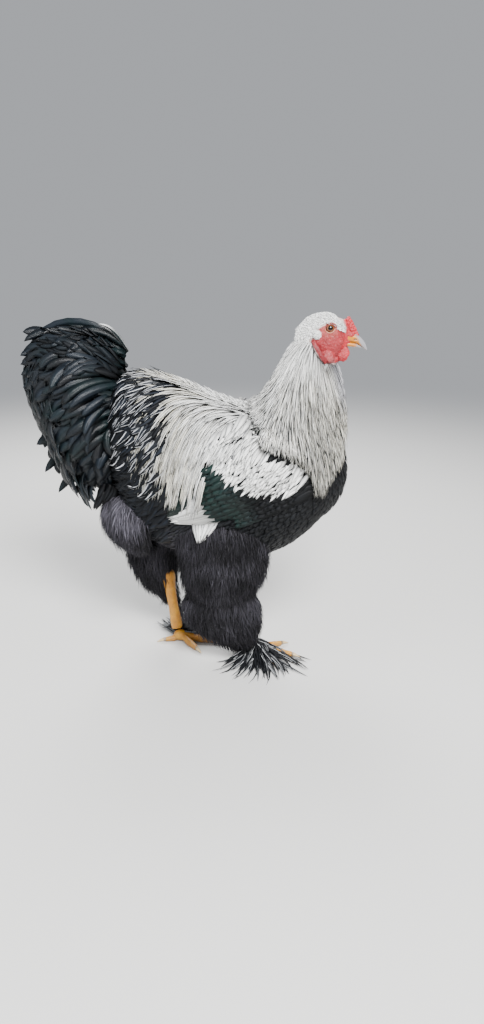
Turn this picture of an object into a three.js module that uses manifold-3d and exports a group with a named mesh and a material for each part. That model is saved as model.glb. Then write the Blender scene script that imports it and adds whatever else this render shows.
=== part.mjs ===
// A life-size standing Brahma cock, in millimetres.
// +X is forward, +Y is the bird's left, +Z is up, and the floor is z = 0.
import * as THREE from 'three';
import { mergeVertices } from 'three/addons/utils/BufferGeometryUtils.js';
import Module from 'manifold-3d';

const wasm = await Module();
wasm.setup();

// Driving dimensions
const GAP = 0.35; // clearance between neighbouring pieces
const SOLE = 0; // floor level
const EYE = { x: 176, y: 21.5, z: 618, radius: 7 };
const LEFT = 1;
const RIGHT = -1;

// Torso sections across X: [x, top z, bottom z, half width]
const TORSO = [
  [-205, 500, 345, 44],
  [-180, 532, 292, 74],
  [-140, 536, 238, 98],
  [-85, 523, 214, 108],
  [-20, 497, 208, 111],
  [45, 476, 208, 111],
  [105, 462, 228, 104],
  [155, 455, 268, 86],
  [190, 442, 316, 60],
  [211, 418, 366, 26],
];
const TORSO_SQUARE = 0.86; // section exponent, below 1 is fuller than an ellipse
const FLUFF = { x: -152, z: 282, rx: 80, ry: 88, rz: 66 }; // soft rump under the tail

// Neck and cape rings: [back x, back z, front x, front z, half width]
const CAPE = [
  [131, 612, 176, 588, 24],
  [110, 584, 192, 556, 36],
  [92, 551, 203, 515, 50],
  [76, 520, 208, 470, 64],
  [58, 497, 211, 425, 82],
  [42, 484, 211, 385, 98],
  [28, 478, 203, 345, 110],
];

// Folded wing pad: an oval against the flank
const WING = { x: 10, z: 374, half: 126, high: 66, out: 19, tilt: 25 };

// Tail outline sections across X: [x, top z, bottom z, half width]
const TAIL = [
  [-176, 556, 330, 46],
  [-205, 590, 322, 66],
  [-240, 611, 328, 78],
  [-280, 614, 356, 76],
  [-315, 606, 404, 60],
  [-343, 580, 480, 30],
];

// Head sections across X: [x, centre z, up, down, half width]
const HEAD = [
  [126, 603, 17, 20, 18],
  [138, 606, 26, 30, 24],
  [156, 607, 32, 40, 27],
  [174, 605, 35, 42, 27.5],
  [189, 601, 33, 36, 24.5],
  [201, 598, 25.5, 23, 16],
  [209, 596.5, 17, 11.5, 11],
  [215, 596.5, 10, 6.5, 8],
];

// Each leg: fluffy thigh, shank and foot
const LEGS = {
  right: {
    side: RIGHT,
    // thigh rings going down: [x, y, z, half length, half width]
    thigh: [
      [-6, 60, 322, 62, 30],
      [-4, 64, 285, 82, 46],
      [-2, 64, 240, 80, 50],
      [-2, 60, 200, 76, 48],
      [-6, 56, 168, 68, 42],
      [-8, 53, 150, 50, 32],
    ],
    hock: [-26, 50, 158],
    ankle: [42, 26, 27],
    ball: [57, 20],
    turn: 14,
    stocking: [
      [-8, 51, 149.6, 52, 33],
      [-8, 51, 128, 69, 43],
      [-6, 49, 98, 70, 43],
      [4, 44, 66, 58, 36],
      [18, 37, 40, 36, 24],
      [27, 33, 24, 16, 12],
    ],
  },
  left: {
    side: LEFT,
    thigh: [
      [-100, 58, 318, 50, 28],
      [-112, 62, 285, 72, 44],
      [-132, 62, 240, 72, 48],
      [-148, 58, 195, 58, 42],
      [-150, 52, 150, 44, 32],
      [-142, 47, 112, 30, 21],
      [-136, 44, 98, 14, 11],
    ],
    hock: [-124, 36, 146],
    ankle: [-104, 19, 25],
    ball: [-94, 15],
    turn: -8,
    stocking: null,
  },
};
const SHANK_R = [11.5, 9]; // half depth and half width
const TOES = {
  // toe: [angle from the foot's own forward, outward positive, length, radius]
  2: { angle: -42, length: 54, radius: 7.2 },
  3: { angle: 0, length: 72, radius: 7.8 },
  4: { angle: 36, length: 58, radius: 6.8 },
  1: { angle: 205, length: 34, radius: 6.2 },
};
const CLAW = { length: 17, radius: 4.2 };

// Feather kinds: half width and thickness, and half widths along the feather as shares
const FEATHERS = {
  hackle: { half: 9.4, thick: 1.7, shares: [0.7, 1, 0.72] },
  saddle: { half: 9.4, thick: 1.7, shares: [0.75, 1, 0.7] },
  cushion: { half: 14, thick: 1.8, shares: [0.5, 1, 0.78] },
  covert: { half: 11.5, thick: 1.7, shares: [0.55, 1, 0.8] },
  quill: { half: 10, thick: 1.8, shares: [0.6, 1, 0.85] },
  rectrix: { half: 20, thick: 2, shares: [0.5, 1, 0.85] },
  sickle: { half: 16, thick: 2, shares: [0.65, 1, 0.72] },
  fluff: { half: 16, thick: 2.4, shares: [0.8, 1, 0.6] },
  foot: { half: 8.5, thick: 1.8, shares: [0.5, 1, 0.85] },
};

// Colours
const COLOURS = {
  black: 0x15171a,
  green: 0x13211f,
  silver: 0xd9d8cb,
  white: 0xe6e6e2,
  down: 0x2e2b2e,
  red: 0xb93438,
  yellow: 0xc8952f,
  horn: 0xcfb98a,
  eye: 0xb05a1c,
};

function finish(colour, roughness = 0.8) {
  return new THREE.MeshStandardMaterial({ color: COLOURS[colour], roughness, metalness: 0 });
}

// Solids

function solidFrom(positions, indices) {
  const geometry = new THREE.BufferGeometry();
  geometry.setAttribute('position', new THREE.Float32BufferAttribute(positions, 3));
  geometry.setIndex(indices);
  return solidOf(geometry);
}

// A closed geometry as a solid, turned outwards if it faces in.
function solidOf(geometry) {
  const bare = geometry.clone();
  bare.deleteAttribute('normal');
  bare.deleteAttribute('uv');
  const merged = mergeVertices(bare, 1e-4);
  const triVerts = new Uint32Array(merged.index.array);
  const vertProperties = new Float32Array(merged.attributes.position.array);
  const made = new wasm.Manifold(new wasm.Mesh({ numProp: 3, vertProperties, triVerts }));
  if (made.volume() > 0) return made;
  for (let i = 0; i < triVerts.length; i += 3) {
    [triVerts[i + 1], triVerts[i + 2]] = [triVerts[i + 2], triVerts[i + 1]];
  }
  return new wasm.Manifold(new wasm.Mesh({ numProp: 3, vertProperties, triVerts }));
}

function joined(solids) {
  return wasm.Manifold.union(solids);
}

// Only the largest closed surface of a solid.
function largest(solid) {
  const pieces = solid.decompose();
  return pieces.reduce((a, b) => (b.volume() > a.volume() ? b : a));
}

// A loft is a list of rings {centre, up, side, down}, where down is the lower half's share of up.
function loft(rings, square = 1) {
  const flat = { centre: [], up: [], side: [], down: [] };
  for (const ring of rings) {
    flat.centre.push(ring.centre);
    flat.up.push(ring.up);
    flat.side.push(ring.side);
    flat.down.push(new THREE.Vector3(ring.down ?? 1, 0, 0));
  }
  const curves = {};
  for (const key of Object.keys(flat)) {
    curves[key] = new THREE.CatmullRomCurve3(flat[key], false, 'catmullrom', 0.5);
  }
  return { curves, last: rings.length - 1, square };
}

function ringAt(shape, t) {
  const u = THREE.MathUtils.clamp(t / shape.last, 0, 1);
  return {
    centre: shape.curves.centre.getPoint(u),
    up: shape.curves.up.getPoint(u),
    side: shape.curves.side.getPoint(u),
    down: shape.curves.down.getPoint(u).x,
  };
}

// A point of the loft's surface: t counts rings, and angle 0 is the side and 90 degrees the top.
function surfacePoint(shape, t, angle, grow = 0) {
  const ring = ringAt(shape, t);
  const c = Math.cos(angle);
  const s = Math.sin(angle);
  const across = Math.sign(c) * Math.abs(c) ** shape.square;
  const along = Math.sign(s) * Math.abs(s) ** shape.square * (s < 0 ? ring.down : 1);
  const side = ring.side.clone().setLength(ring.side.length() + grow);
  const up = ring.up.clone().setLength(ring.up.length() + grow);
  return ring.centre.clone().addScaledVector(side, across).addScaledVector(up, along);
}

// The closed solid of a loft, with rows rings of segments points, grown outwards by grow.
function loftSolid(shape, rows, segments, grow = 0) {
  const positions = [];
  const indices = [];
  for (let i = 0; i <= rows; i++) {
    for (let j = 0; j < segments; j++) {
      const angle = (j / segments) * Math.PI * 2;
      positions.push(...surfacePoint(shape, (i / rows) * shape.last, angle, grow).toArray());
    }
  }
  for (let i = 0; i < rows; i++) {
    for (let j = 0; j < segments; j++) {
      const a = i * segments + j;
      const b = i * segments + ((j + 1) % segments);
      indices.push(a, b, a + segments, b, b + segments, a + segments);
    }
  }
  for (const [end, inner] of [[0, 0.02], [shape.last, shape.last - 0.02]]) {
    const centre = ringAt(shape, end).centre;
    const outward = centre.clone().sub(ringAt(shape, inner).centre).setLength(grow);
    const hub = positions.length / 3;
    positions.push(...centre.add(outward).toArray());
    const first = end === 0 ? 0 : rows * segments;
    for (let j = 0; j < segments; j++) {
      const a = first + j;
      const b = first + ((j + 1) % segments);
      indices.push(...(end === 0 ? [hub, b, a] : [hub, a, b]));
    }
    if (grow) {
      for (let j = 0; j < segments; j++) {
        for (let k = 0; k < 3; k++) positions[(first + j) * 3 + k] += outward.getComponent(k);
      }
    }
  }
  return solidFrom(positions, indices);
}

// Rings across X from rows of [x, top, bottom, half width].
function sectionRings(rows) {
  return rows.map(([x, top, bottom, half]) => ({
    centre: new THREE.Vector3(x, 0, (top + bottom) / 2),
    up: new THREE.Vector3(0, 0, (top - bottom) / 2),
    side: new THREE.Vector3(0, half, 0),
  }));
}

// Rings round a bent path, with a half size across and a half size upwards at each point.
function pathRings(points, across, upwards, reference = new THREE.Vector3(0, 0, 1)) {
  const list = points.map((p) => new THREE.Vector3(...p));
  return list.map((centre, i) => {
    const before = list[Math.max(0, i - 1)];
    const after = list[Math.min(list.length - 1, i + 1)];
    const along = after.clone().sub(before).normalize();
    const side = new THREE.Vector3().crossVectors(reference, along).normalize();
    const up = new THREE.Vector3().crossVectors(along, side).normalize();
    return {
      centre,
      side: side.multiplyScalar(across[i]),
      up: up.multiplyScalar(upwards[i]),
    };
  });
}

function ball(centre, radii, grow = 0, turn = null, detail = [14, 9]) {
  const geometry = new THREE.SphereGeometry(1, detail[0], detail[1]);
  geometry.scale(radii[0] + grow, radii[1] + grow, radii[2] + grow);
  if (turn) geometry.rotateY(THREE.MathUtils.degToRad(turn));
  geometry.translate(...centre);
  return solidOf(geometry);
}

// The half space below the floor, as a box to cut away.
function floorBlock() {
  const block = new THREE.BoxGeometry(1400, 1400, 200);
  block.translate(0, 0, SOLE - 100);
  return solidOf(block);
}

// Feathers

// Seeded random numbers from 0 to 1.
function randomFrom(seed) {
  let state = seed;
  return () => {
    state = (state + 0x6d2b79f5) | 0;
    let mixed = Math.imul(state ^ (state >>> 15), 1 | state);
    mixed = (mixed + Math.imul(mixed ^ (mixed >>> 7), 61 | mixed)) ^ mixed;
    return ((mixed ^ (mixed >>> 14)) >>> 0) / 4294967296;
  };
}
const random = randomFrom(41);
const spread = (amount) => (random() - 0.5) * 2 * amount;

// A feather on a surface. place(a, b, lift) is a point of the surface lifted off it, and the
// feather runs from [a, b] to [a, b], rooted below the surface and rising towards its tip.
function feather(kind, place, from, to, { rise = 4, root = -3, scale = 1, bow = 0 } = {}) {
  const { half, thick, shares } = FEATHERS[kind];
  const steps = shares.length;
  const points = [];
  const normals = [];
  for (let i = 0; i <= steps; i++) {
    const t = i / steps;
    const a = from[0] + (to[0] - from[0]) * t;
    const b = from[1] + (to[1] - from[1]) * t + bow * Math.sin(Math.PI * t);
    const lift = root + (rise - root) * Math.min(1, 1.7 * t);
    const point = place(a, b, lift);
    points.push(point);
    normals.push(place(a, b, lift + 2).sub(point).normalize());
  }
  return { points, normals, halves: shares.map((share) => share * half * scale), thick };
}

// The closed solid of a feather: ridged on top and flat below, with a pointed tip. Grown, its
// section has upright edges, so that it clears the feather all round.
function vaneSolid({ points, normals, halves, thick }, grow = 0) {
  const last = halves.length;
  const tipWay = points[last].clone().sub(points[last - 1]).normalize();
  const rootWay = points[0].clone().sub(points[1]).normalize();
  const positions = [];
  const count = grow ? 5 : 3;
  for (let i = 0; i < last; i++) {
    const before = points[Math.max(0, i - 1)];
    const along = points[i + 1].clone().sub(before).normalize();
    const side = new THREE.Vector3().crossVectors(normals[i], along).normalize();
    const up = new THREE.Vector3().crossVectors(along, side).normalize();
    const centre = points[i].clone();
    if (i === 0) centre.addScaledVector(rootWay, grow);
    const edge = halves[i] + grow;
    const section = grow
      ? [[edge, -grow], [edge, grow], [0, thick + grow], [-edge, grow], [-edge, -grow]]
      : [[edge, 0], [0, thick], [-edge, 0]];
    for (const [across, lift] of section) {
      const p = centre.clone().addScaledVector(side, across).addScaledVector(up, lift);
      positions.push(...p.toArray());
    }
  }
  const tip = points[last].clone().addScaledVector(tipWay, grow * 2);
  const tipIndex = last * count;
  positions.push(...tip.addScaledVector(normals[last], thick / 4).toArray());
  const indices = [];
  for (let i = 0; i < last - 1; i++) {
    for (let j = 0; j < count; j++) {
      const a = i * count + j;
      const b = i * count + ((j + 1) % count);
      indices.push(a, a + count, b, b, a + count, b + count);
    }
  }
  for (let j = 0; j < count; j++) {
    const a = (last - 1) * count + j;
    const b = (last - 1) * count + ((j + 1) % count);
    indices.push(a, tipIndex, b);
  }
  for (let j = 1; j < count - 1; j++) indices.push(0, j, j + 1);
  return solidFrom(positions, indices);
}

function plumage(feathers, grow = 0) {
  return joined(feathers.map((one) => vaneSolid(one, grow)));
}

// A place on a loft, running straight on past its ends.
function loftPlace(shape) {
  return (t, angle, lift) => {
    const p = surfacePoint(shape, t, angle, lift);
    const over = t > shape.last ? t - shape.last : Math.min(t, 0);
    if (over === 0) return p;
    const edge = t > shape.last ? shape.last : 0;
    const inner = edge === 0 ? 0.25 : shape.last - 0.25;
    const run = surfacePoint(shape, edge, angle, lift).sub(surfacePoint(shape, inner, angle, lift));
    return p.addScaledVector(run, Math.abs(over) * 4);
  };
}

// Body forms
const torsoShape = loft(sectionRings(TORSO), TORSO_SQUARE);
const tailShape = loft(sectionRings(TAIL), 0.9);
const headShape = loft(
  HEAD.map(([x, z, up, down, half]) => ({
    centre: new THREE.Vector3(x, 0, z),
    up: new THREE.Vector3(0, 0, up),
    side: new THREE.Vector3(0, half, 0),
    down: down / up,
  })),
  0.94,
);
const capeShape = loft(
  CAPE.map(([bx, bz, fx, fz, half]) => ({
    centre: new THREE.Vector3((bx + fx) / 2, 0, (bz + fz) / 2),
    up: new THREE.Vector3((bx - fx) / 2, 0, (bz - fz) / 2),
    side: new THREE.Vector3(0, half, 0),
  })),
  0.92,
);

function torsoCore(grow = 0) {
  const trunk = loftSolid(torsoShape, 11, 16, grow);
  const { x, z, rx, ry, rz } = FLUFF;
  return trunk.add(ball([x, 0, z], [rx, ry, rz], grow, 0, [12, 8]));
}

function wingPad(side, grow = 0) {
  const flank = torsoShape.curves.side.getPoint(0.5).length();
  const radii = [WING.half, WING.out * 2, WING.high];
  const centre = [WING.x, side * (flank - WING.out), WING.z];
  return ball(centre, radii, grow, -WING.tilt, [14, 9]);
}

function headCore(grow = 0) {
  return loftSolid(headShape, 9, 14, grow);
}

function eyeBall(side, grow = 0) {
  return ball([EYE.x, side * EYE.y, EYE.z], Array(3).fill(EYE.radius), grow, 0, [10, 7]);
}

function beakUpper(grow = 0) {
  const points = [[204, 0, 602], [214, 0, 601], [225, 0, 597], [234, 0, 589], [240, 0, 581]];
  const rings = pathRings(points, [9, 8.4, 6.6, 4, 0.9], [8, 7.2, 6, 4, 1]);
  return loftSolid(loft(rings, 0.9), 7, 10, grow);
}

function beakLower(grow = 0) {
  const points = [[202, 0, 590.5], [212, 0, 590], [222, 0, 588], [231, 0, 585]];
  const rings = pathRings(points, [8, 7, 5, 1.2], [4.6, 4, 3, 1]);
  return loftSolid(loft(rings, 0.9), 5, 10, grow);
}

// Pea comb: three low rows of beads over the base of the beak
function combPeas() {
  const beads = [];
  for (const row of [-1, 0, 1]) {
    const count = row === 0 ? 5 : 4;
    for (let i = 0; i < count; i++) {
      const t = i / (count - 1);
      const x = 219.5 - 15 * t + (row === 0 ? 3 : 0);
      const z = 604 + 27 * t + (row === 0 ? 2 : 0);
      const size = 4.2 + (row === 0 ? 1 : 0) - 0.9 * Math.abs(t - 0.45);
      const y = row * (4.8 + 1.8 * Math.sin(Math.PI * t));
      beads.push(ball([x, y, z], [size * 1.2, size * 0.9, size * 1.4], 0, 0, [5, 3]));
    }
  }
  const base = pathRings(
    [[218, 0, 603], [213, 0, 611], [207, 0, 621], [199, 0, 630]],
    [5.5, 8, 8, 5.5],
    [4, 4.8, 4.8, 3.8],
  );
  return joined([loftSolid(loft(base), 5, 8), ...beads]);
}

function wattle(side, grow = 0) {
  const points = [
    [207, side * 9, 588],
    [203, side * 12, 579],
    [199, side * 13, 570],
    [197, side * 12.5, 563],
  ];
  const forward = new THREE.Vector3(1, 0, 0);
  const rings = pathRings(points, [2.2, 3.2, 3.4, 1.6], [6, 10, 10, 5], forward);
  return loftSolid(loft(rings), 5, 10, grow);
}

function earlobe(side, grow = 0) {
  const points = [
    [149, side * 27, 598],
    [154, side * 29.5, 587],
    [162, side * 30, 574],
    [171, side * 27, 561],
  ];
  const forward = new THREE.Vector3(1, 0, 0);
  const rings = pathRings(points, [2, 3.4, 3.4, 1.6], [4, 6, 5.4, 3], forward);
  return loftSolid(loft(rings), 5, 8, grow);
}

// Leg forms, for the right leg y is negative
function sided(leg, rows) {
  return rows.map(([x, y, z, long, wide]) => ({
    centre: new THREE.Vector3(x, leg.side * y, z),
    up: new THREE.Vector3(long, 0, 0),
    side: new THREE.Vector3(0, wide, 0),
  }));
}

function thighCore(leg, grow = 0) {
  return loftSolid(loft(sided(leg, leg.thigh), 0.92), 6, 12, grow);
}

function stockingCore(leg, grow = 0) {
  return loftSolid(loft(sided(leg, leg.stocking), 0.95), 6, 12, grow);
}

function shankCore(leg, grow = 0) {
  const [hx, hy, hz] = leg.hock;
  const [ax, ay, az] = leg.ankle;
  const mix = (a, b, t) => a + (b - a) * t;
  const along = [0, 0.12, 0.3, 0.6, 0.88, 1];
  const swell = [0.9, 1.25, 1, 0.86, 1, 0.95];
  const points = along.map((t) => [mix(hx, ax, t), leg.side * mix(hy, ay, t), mix(hz, az, t)]);
  const [depth, width] = SHANK_R;
  const forward = new THREE.Vector3(1, 0, 0);
  const rings = pathRings(
    points,
    swell.map((s) => s * width),
    swell.map((s) => s * depth),
    forward,
  );
  return loftSolid(loft(rings), 6, 8, grow);
}

function toeDirection(leg, toe) {
  const angle = THREE.MathUtils.degToRad((TOES[toe].angle + leg.turn) * leg.side);
  return new THREE.Vector3(Math.cos(angle), Math.sin(angle), 0);
}

function toePath(leg, toe) {
  const { length, radius } = TOES[toe];
  const direction = toeDirection(leg, toe);
  const start = new THREE.Vector3(leg.ball[0], leg.side * leg.ball[1], 12);
  const heights = [12, 9.5, radius - 0.6, radius - 1, radius - 1.6];
  return heights.map((z, i) => {
    const p = start.clone().addScaledVector(direction, (length * i) / (heights.length - 1));
    return [p.x, p.y, z];
  });
}

function toeSolid(leg, toe, grow = 0) {
  const { radius } = TOES[toe];
  const points = toePath(leg, toe);
  const radii = points.map((p, i) => radius * [1.15, 0.95, 1.02, 0.86, 0.7][i]);
  return loftSolid(loft(pathRings(points, radii, radii)), 4, 6, grow);
}

function footCore(leg, grow = 0) {
  const parts = Object.keys(TOES).map((toe) => toeSolid(leg, toe, grow));
  const [x, y] = leg.ball;
  parts.push(ball([x - 2, leg.side * y, 11], [15, 12, 12], grow, 0, [10, 6]));
  return joined(parts);
}

function clawSolid(leg, toe) {
  const points = toePath(leg, toe);
  const tip = new THREE.Vector3(...points[points.length - 1]);
  const direction = toeDirection(leg, toe);
  const along = [-4, 3, 9, CLAW.length];
  const heights = [0.2, 0.8, -0.6, -3.2];
  const path = along.map((d, i) => {
    const p = tip.clone().addScaledVector(direction, d);
    return [p.x, p.y, Math.max(p.z + heights[i], 1.4)];
  });
  const radii = [1, 0.9, 0.6, 0.16].map((s) => s * CLAW.radius);
  return loftSolid(loft(pathRings(path, radii, radii)), 4, 6);
}

// Feather coats

const RAD = Math.PI / 180;

// Hackle: rows of narrow locks down the neck, longest at the back and sides
function hackleFeathers() {
  const place = loftPlace(capeShape);
  const feathers = [];
  const rows = [
    { from: 1.1, run: 1.9, count: 9, rise: 3 },
    { from: 2.2, run: 2.0, count: 11, rise: 4 },
    { from: 3.4, run: 2.0, count: 13, rise: 5 },
    { from: 4.5, run: 2.1, count: 16, rise: 6 },
  ];
  rows.forEach(({ from, run, count, rise }, row) => {
    for (let i = 0; i < count; i++) {
      const angle = ((i + (row % 2) / 2) / count) * 360;
      const toFront = Math.abs(angle - 270) / 180;
      if (toFront < 0.22 && row > 1) continue;
      const reach = run * (toFront < 0.22 ? 0.8 : 1) + spread(0.12);
      const a = (angle + spread(2)) * RAD;
      const scale = 0.62 + 0.38 * (from / 4.5);
      feathers.push(feather('hackle', place, [from, a], [from + reach, a + spread(0.05)], { rise, scale }));
    }
  });
  return feathers;
}

// The torso's section at x, found on its loft.
function torsoAt(x) {
  let low = 0;
  let high = torsoShape.last;
  for (let i = 0; i < 24; i++) {
    const mid = (low + high) / 2;
    if (torsoShape.curves.centre.getPoint(mid / torsoShape.last).x < x) low = mid;
    else high = mid;
  }
  return low;
}

// How far out the folded wing reaches at a point of the side view, or 0 outside it.
function wingReach(x, z) {
  const turn = WING.tilt * RAD;
  const dx = x - WING.x;
  const dz = z - WING.z;
  const u = (dx * Math.cos(turn) + dz * Math.sin(turn)) / WING.half;
  const v = (dz * Math.cos(turn) - dx * Math.sin(turn)) / WING.high;
  const inside = 1 - u * u - v * v;
  if (inside <= 0) return 0;
  const flank = torsoShape.curves.side.getPoint(0.5).length();
  return flank - WING.out + WING.out * 2 * Math.sqrt(inside);
}

// A place on the torso by x and angle, passing outside the folded wing.
function torsoPlace(side) {
  return (x, angle, lift) => {
    const p = surfacePoint(torsoShape, torsoAt(x), angle, lift);
    const clear = wingReach(p.x, p.z);
    if (clear > 0) p.y = Math.max(p.y, clear + 6 + lift);
    p.y *= side;
    return p;
  };
}

function saddleFeathers(side) {
  const place = torsoPlace(side);
  const feathers = [];
  const count = 7;
  for (let i = 0; i < count; i++) {
    const t = i / (count - 1);
    const rootX = 18 - 138 * t;
    const tipX = -52 - 104 * t + spread(4);
    const low = (-4 + 14 * Math.abs(t - 0.55) * 2 + spread(3)) * RAD;
    feathers.push(feather('saddle', place, [rootX, 52 * RAD], [tipX, low], { rise: 6 }));
    const upperX = rootX - 6;
    feathers.push(feather('saddle', place, [upperX, 80 * RAD], [upperX - 52, 38 * RAD], { rise: 9 }));
  }
  return feathers;
}

function cushionFeathers(side) {
  const place = torsoPlace(side);
  const feathers = [];
  for (const [row, rootX, run] of [[0, -138, 46], [1, -112, 46]]) {
    for (let i = 0; i < 4; i++) {
      const angle = (-6 + 25 * i + row * 11) * RAD;
      const start = [rootX + spread(3), angle];
      feathers.push(feather('cushion', place, start, [rootX - run, angle - 0.1], { rise: 5 + 4 * row }));
    }
  }
  return feathers;
}

// Long soft feathers under the tail
function rumpFeathers() {
  const { x, z, rx, ry, rz } = FLUFF;
  const place = (turn, tilt, lift) => {
    const reach = Math.cos(tilt);
    return new THREE.Vector3(
      x - Math.cos(turn) * reach * (rx + lift),
      Math.sin(turn) * reach * (ry + lift),
      z + Math.sin(tilt) * (rz + lift),
    );
  };
  const feathers = [];
  for (let i = 0; i < 6; i++) {
    const turn = (-65 + 26 * i + spread(3)) * RAD;
    feathers.push(feather('fluff', place, [turn, 0.25], [turn, -0.62 + spread(0.06)], { rise: 4 }));
  }
  return feathers;
}

// A place on the folded wing by its own axes: u towards the front and v upwards.
function wingPlace(side) {
  const turn = WING.tilt * RAD;
  const flank = torsoShape.curves.side.getPoint(0.5).length();
  return (u, v, lift) => {
    const out = Math.sqrt(Math.max(0.1, 1 - u * u - v * v)) * WING.out * 2 + lift;
    const along = u * WING.half;
    const up = v * WING.high;
    return new THREE.Vector3(
      WING.x + along * Math.cos(turn) - up * Math.sin(turn),
      side * (flank - WING.out + out),
      WING.z + along * Math.sin(turn) + up * Math.cos(turn),
    );
  };
}

function wingFeathers(side) {
  const place = wingPlace(side);
  const feathers = [];
  const row = (kind, count, rootU, lows, highs, run, rise, scale = 1) => {
    for (let i = 0; i < count; i++) {
      const t = (i + 0.5) / count;
      const v = lows[0] + (highs[0] - lows[0]) * t;
      const end = lows[1] + (highs[1] - lows[1]) * t;
      const u = rootU + spread(0.015);
      feathers.push(feather(kind, place, [u, v], [u - run, end], { rise, scale }));
    }
  };
  row('covert', 3, 0.84, [-0.4, -0.52], [0.42, 0.5], 0.4, 6);
  row('covert', 4, 0.58, [-0.62, -0.68], [0.62, 0.62], 0.42, 5.2, 1.15);
  row('covert', 5, 0.3, [-0.8, -0.82], [0.72, 0.6], 0.42, 4.4);
  row('covert', 5, 0.02, [-0.86, -0.88], [0.62, 0.46], 0.4, 3.6);
  row('quill', 5, -0.2, [-0.84, -0.98], [0.3, 0.02], 0.78, 2.6);
  return feathers;
}

// A place on the tail by its side view; it closes on the midline at the outline.
function tailPlace(side) {
  return (x, z, lift) => {
    const share = THREE.MathUtils.clamp((x - TAIL[0][0]) / (TAIL[TAIL.length - 1][0] - TAIL[0][0]), 0, 1);
    const ring = ringAt(tailShape, share * tailShape.last);
    const high = (z - ring.centre.z) / ring.up.length();
    const half = ring.side.length() * Math.sqrt(Math.max(0, 1 - high * high));
    return new THREE.Vector3(x, side * Math.max(half + lift, 2.2 + lift / 3), z);
  };
}

// Sickles arch over the top, and broad feathers fan out below them
const TAIL_TIPS = [
  [-262, 619], [-302, 615], [-344, 590], [-347, 545], [-344, 492], [-330, 436],
  [-304, 384], [-264, 340],
];

function tailFeathers(side) {
  const place = tailPlace(side);
  const feathers = [];
  TAIL_TIPS.forEach(([x, z], i) => {
    const t = i / (TAIL_TIPS.length - 1);
    const arch = 26 * (1 - t) - 10 * t;
    for (const [reach, rise, kind] of [[1, 1.5, 'rectrix'], [0.66, 5, 'sickle']]) {
      if (reach < 1 && i % 2 === 1) continue;
      const rootX = -186 - 4 * t;
      const rootZ = 545 - 165 * t;
      const tipX = rootX + (x - rootX) * reach + spread(3);
      const tipZ = rootZ + (z - rootZ) * reach;
      feathers.push(
        feather(kind, place, [rootX, rootZ], [tipX, tipZ], { rise, root: -5, bow: arch * reach }),
      );
    }
  });
  return feathers;
}

// Soft locks round a thigh or a feathered shank
function legFeathers(shape, rows, count, scale = 1) {
  const place = loftPlace(shape);
  const feathers = [];
  rows.forEach(([from, to], row) => {
    for (let i = 0; i < count; i++) {
      const angle = ((i + row / 2) / count) * 360 * RAD + spread(0.06);
      const end = to + spread(0.1);
      feathers.push(feather('fluff', place, [from, angle], [end, angle], { rise: 4, scale }));
    }
  });
  return feathers;
}

// Foot feathers fan outwards over the floor from the ankle
function footFeathers(leg) {
  const [x, y] = leg.ball;
  const feathers = [];
  const layers = [
    { count: 7, first: 2, last: 128, reach: 106, high: 13, low: 2.4, scale: 1.1 },
    { count: 4, first: 18, last: 110, reach: 72, high: 20, low: 7, scale: 1 },
  ];
  for (const { count, first, last, reach, high, low, scale } of layers) {
    for (let i = 0; i < count; i++) {
      const t = i / (count - 1);
      const angle = leg.side * (first + (last - first) * t + spread(3)) * RAD;
      const length = reach * (1 - 0.22 * t) + spread(4);
      const place = (r, z, lift) => new THREE.Vector3(
        x - 6 + Math.cos(angle) * r,
        leg.side * y + Math.sin(angle) * r,
        z + lift,
      );
      const options = { rise: 0, root: 0, scale, bow: 3 };
      feathers.push(feather('foot', place, [6, high], [length, low], options));
    }
  }
  return feathers;
}

// Stiff feathers down the outer side of a bare shank
function shankFeathers(leg) {
  const [hx, hy, hz] = leg.hock;
  const [ax, ay, az] = leg.ankle;
  const feathers = [];
  for (let i = 0; i < 5; i++) {
    const t = 0.12 + 0.19 * i;
    const start = [hx + (ax - hx) * t + 2, hz + (az - hz) * t];
    const wide = hy + (ay - hy) * t;
    const place = (x, z, lift) => new THREE.Vector3(
      x,
      leg.side * (wide + 6 + lift + (start[1] - z) * 0.5),
      z,
    );
    const end = [start[0] + 10, Math.max(start[1] - 42, 14)];
    feathers.push(feather('foot', place, start, end, { rise: 2, root: -2, scale: 0.8 }));
  }
  return feathers;
}

// Swollen rim round an eye
function eyelid(side) {
  const rim = new THREE.TorusGeometry(EYE.radius + 0.9, 1.7, 4, 10);
  rim.scale(1.1, 0.92, 1);
  rim.rotateX(Math.PI / 2);
  rim.translate(EYE.x, side * (EYE.y + 2.6), EYE.z);
  return solidOf(rim);
}

// A white feather over the ear
function earFeathers(side) {
  const place = loftPlace(headShape);
  const angle = -4 * RAD;
  const around = side === LEFT ? angle : Math.PI - angle;
  const options = { rise: 3.4, root: -2, scale: 0.6 };
  return [feather('hackle', place, [2.4, around], [0.9, around], options)];
}

function nostril(side) {
  return ball([220, side * 7.4, 598.6], [3.2, 2.2, 1.3], 0, 24, [8, 5]);
}

const root = new THREE.Group();

function addNode(name, solid, material) {
  const mesh = solid.getMesh();
  const geometry = new THREE.BufferGeometry();
  const positions = new Float32Array(mesh.numVert * 3);
  for (let i = 0; i < mesh.numVert; i++) {
    positions.set(mesh.vertProperties.subarray(i * mesh.numProp, i * mesh.numProp + 3), i * 3);
  }
  geometry.setAttribute('position', new THREE.BufferAttribute(positions, 3));
  geometry.setIndex(new THREE.BufferAttribute(mesh.triVerts, 1));
  const node = new THREE.Mesh(geometry, material);
  node.name = name;
  root.add(node);
}

// A body with its feathers, as the plain solid and as one grown by the gap
function dressed(core, feathers) {
  return {
    solid: joined([core(0), plumage(feathers)]),
    grown: joined([core(GAP), plumage(feathers, GAP)]),
  };
}

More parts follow.
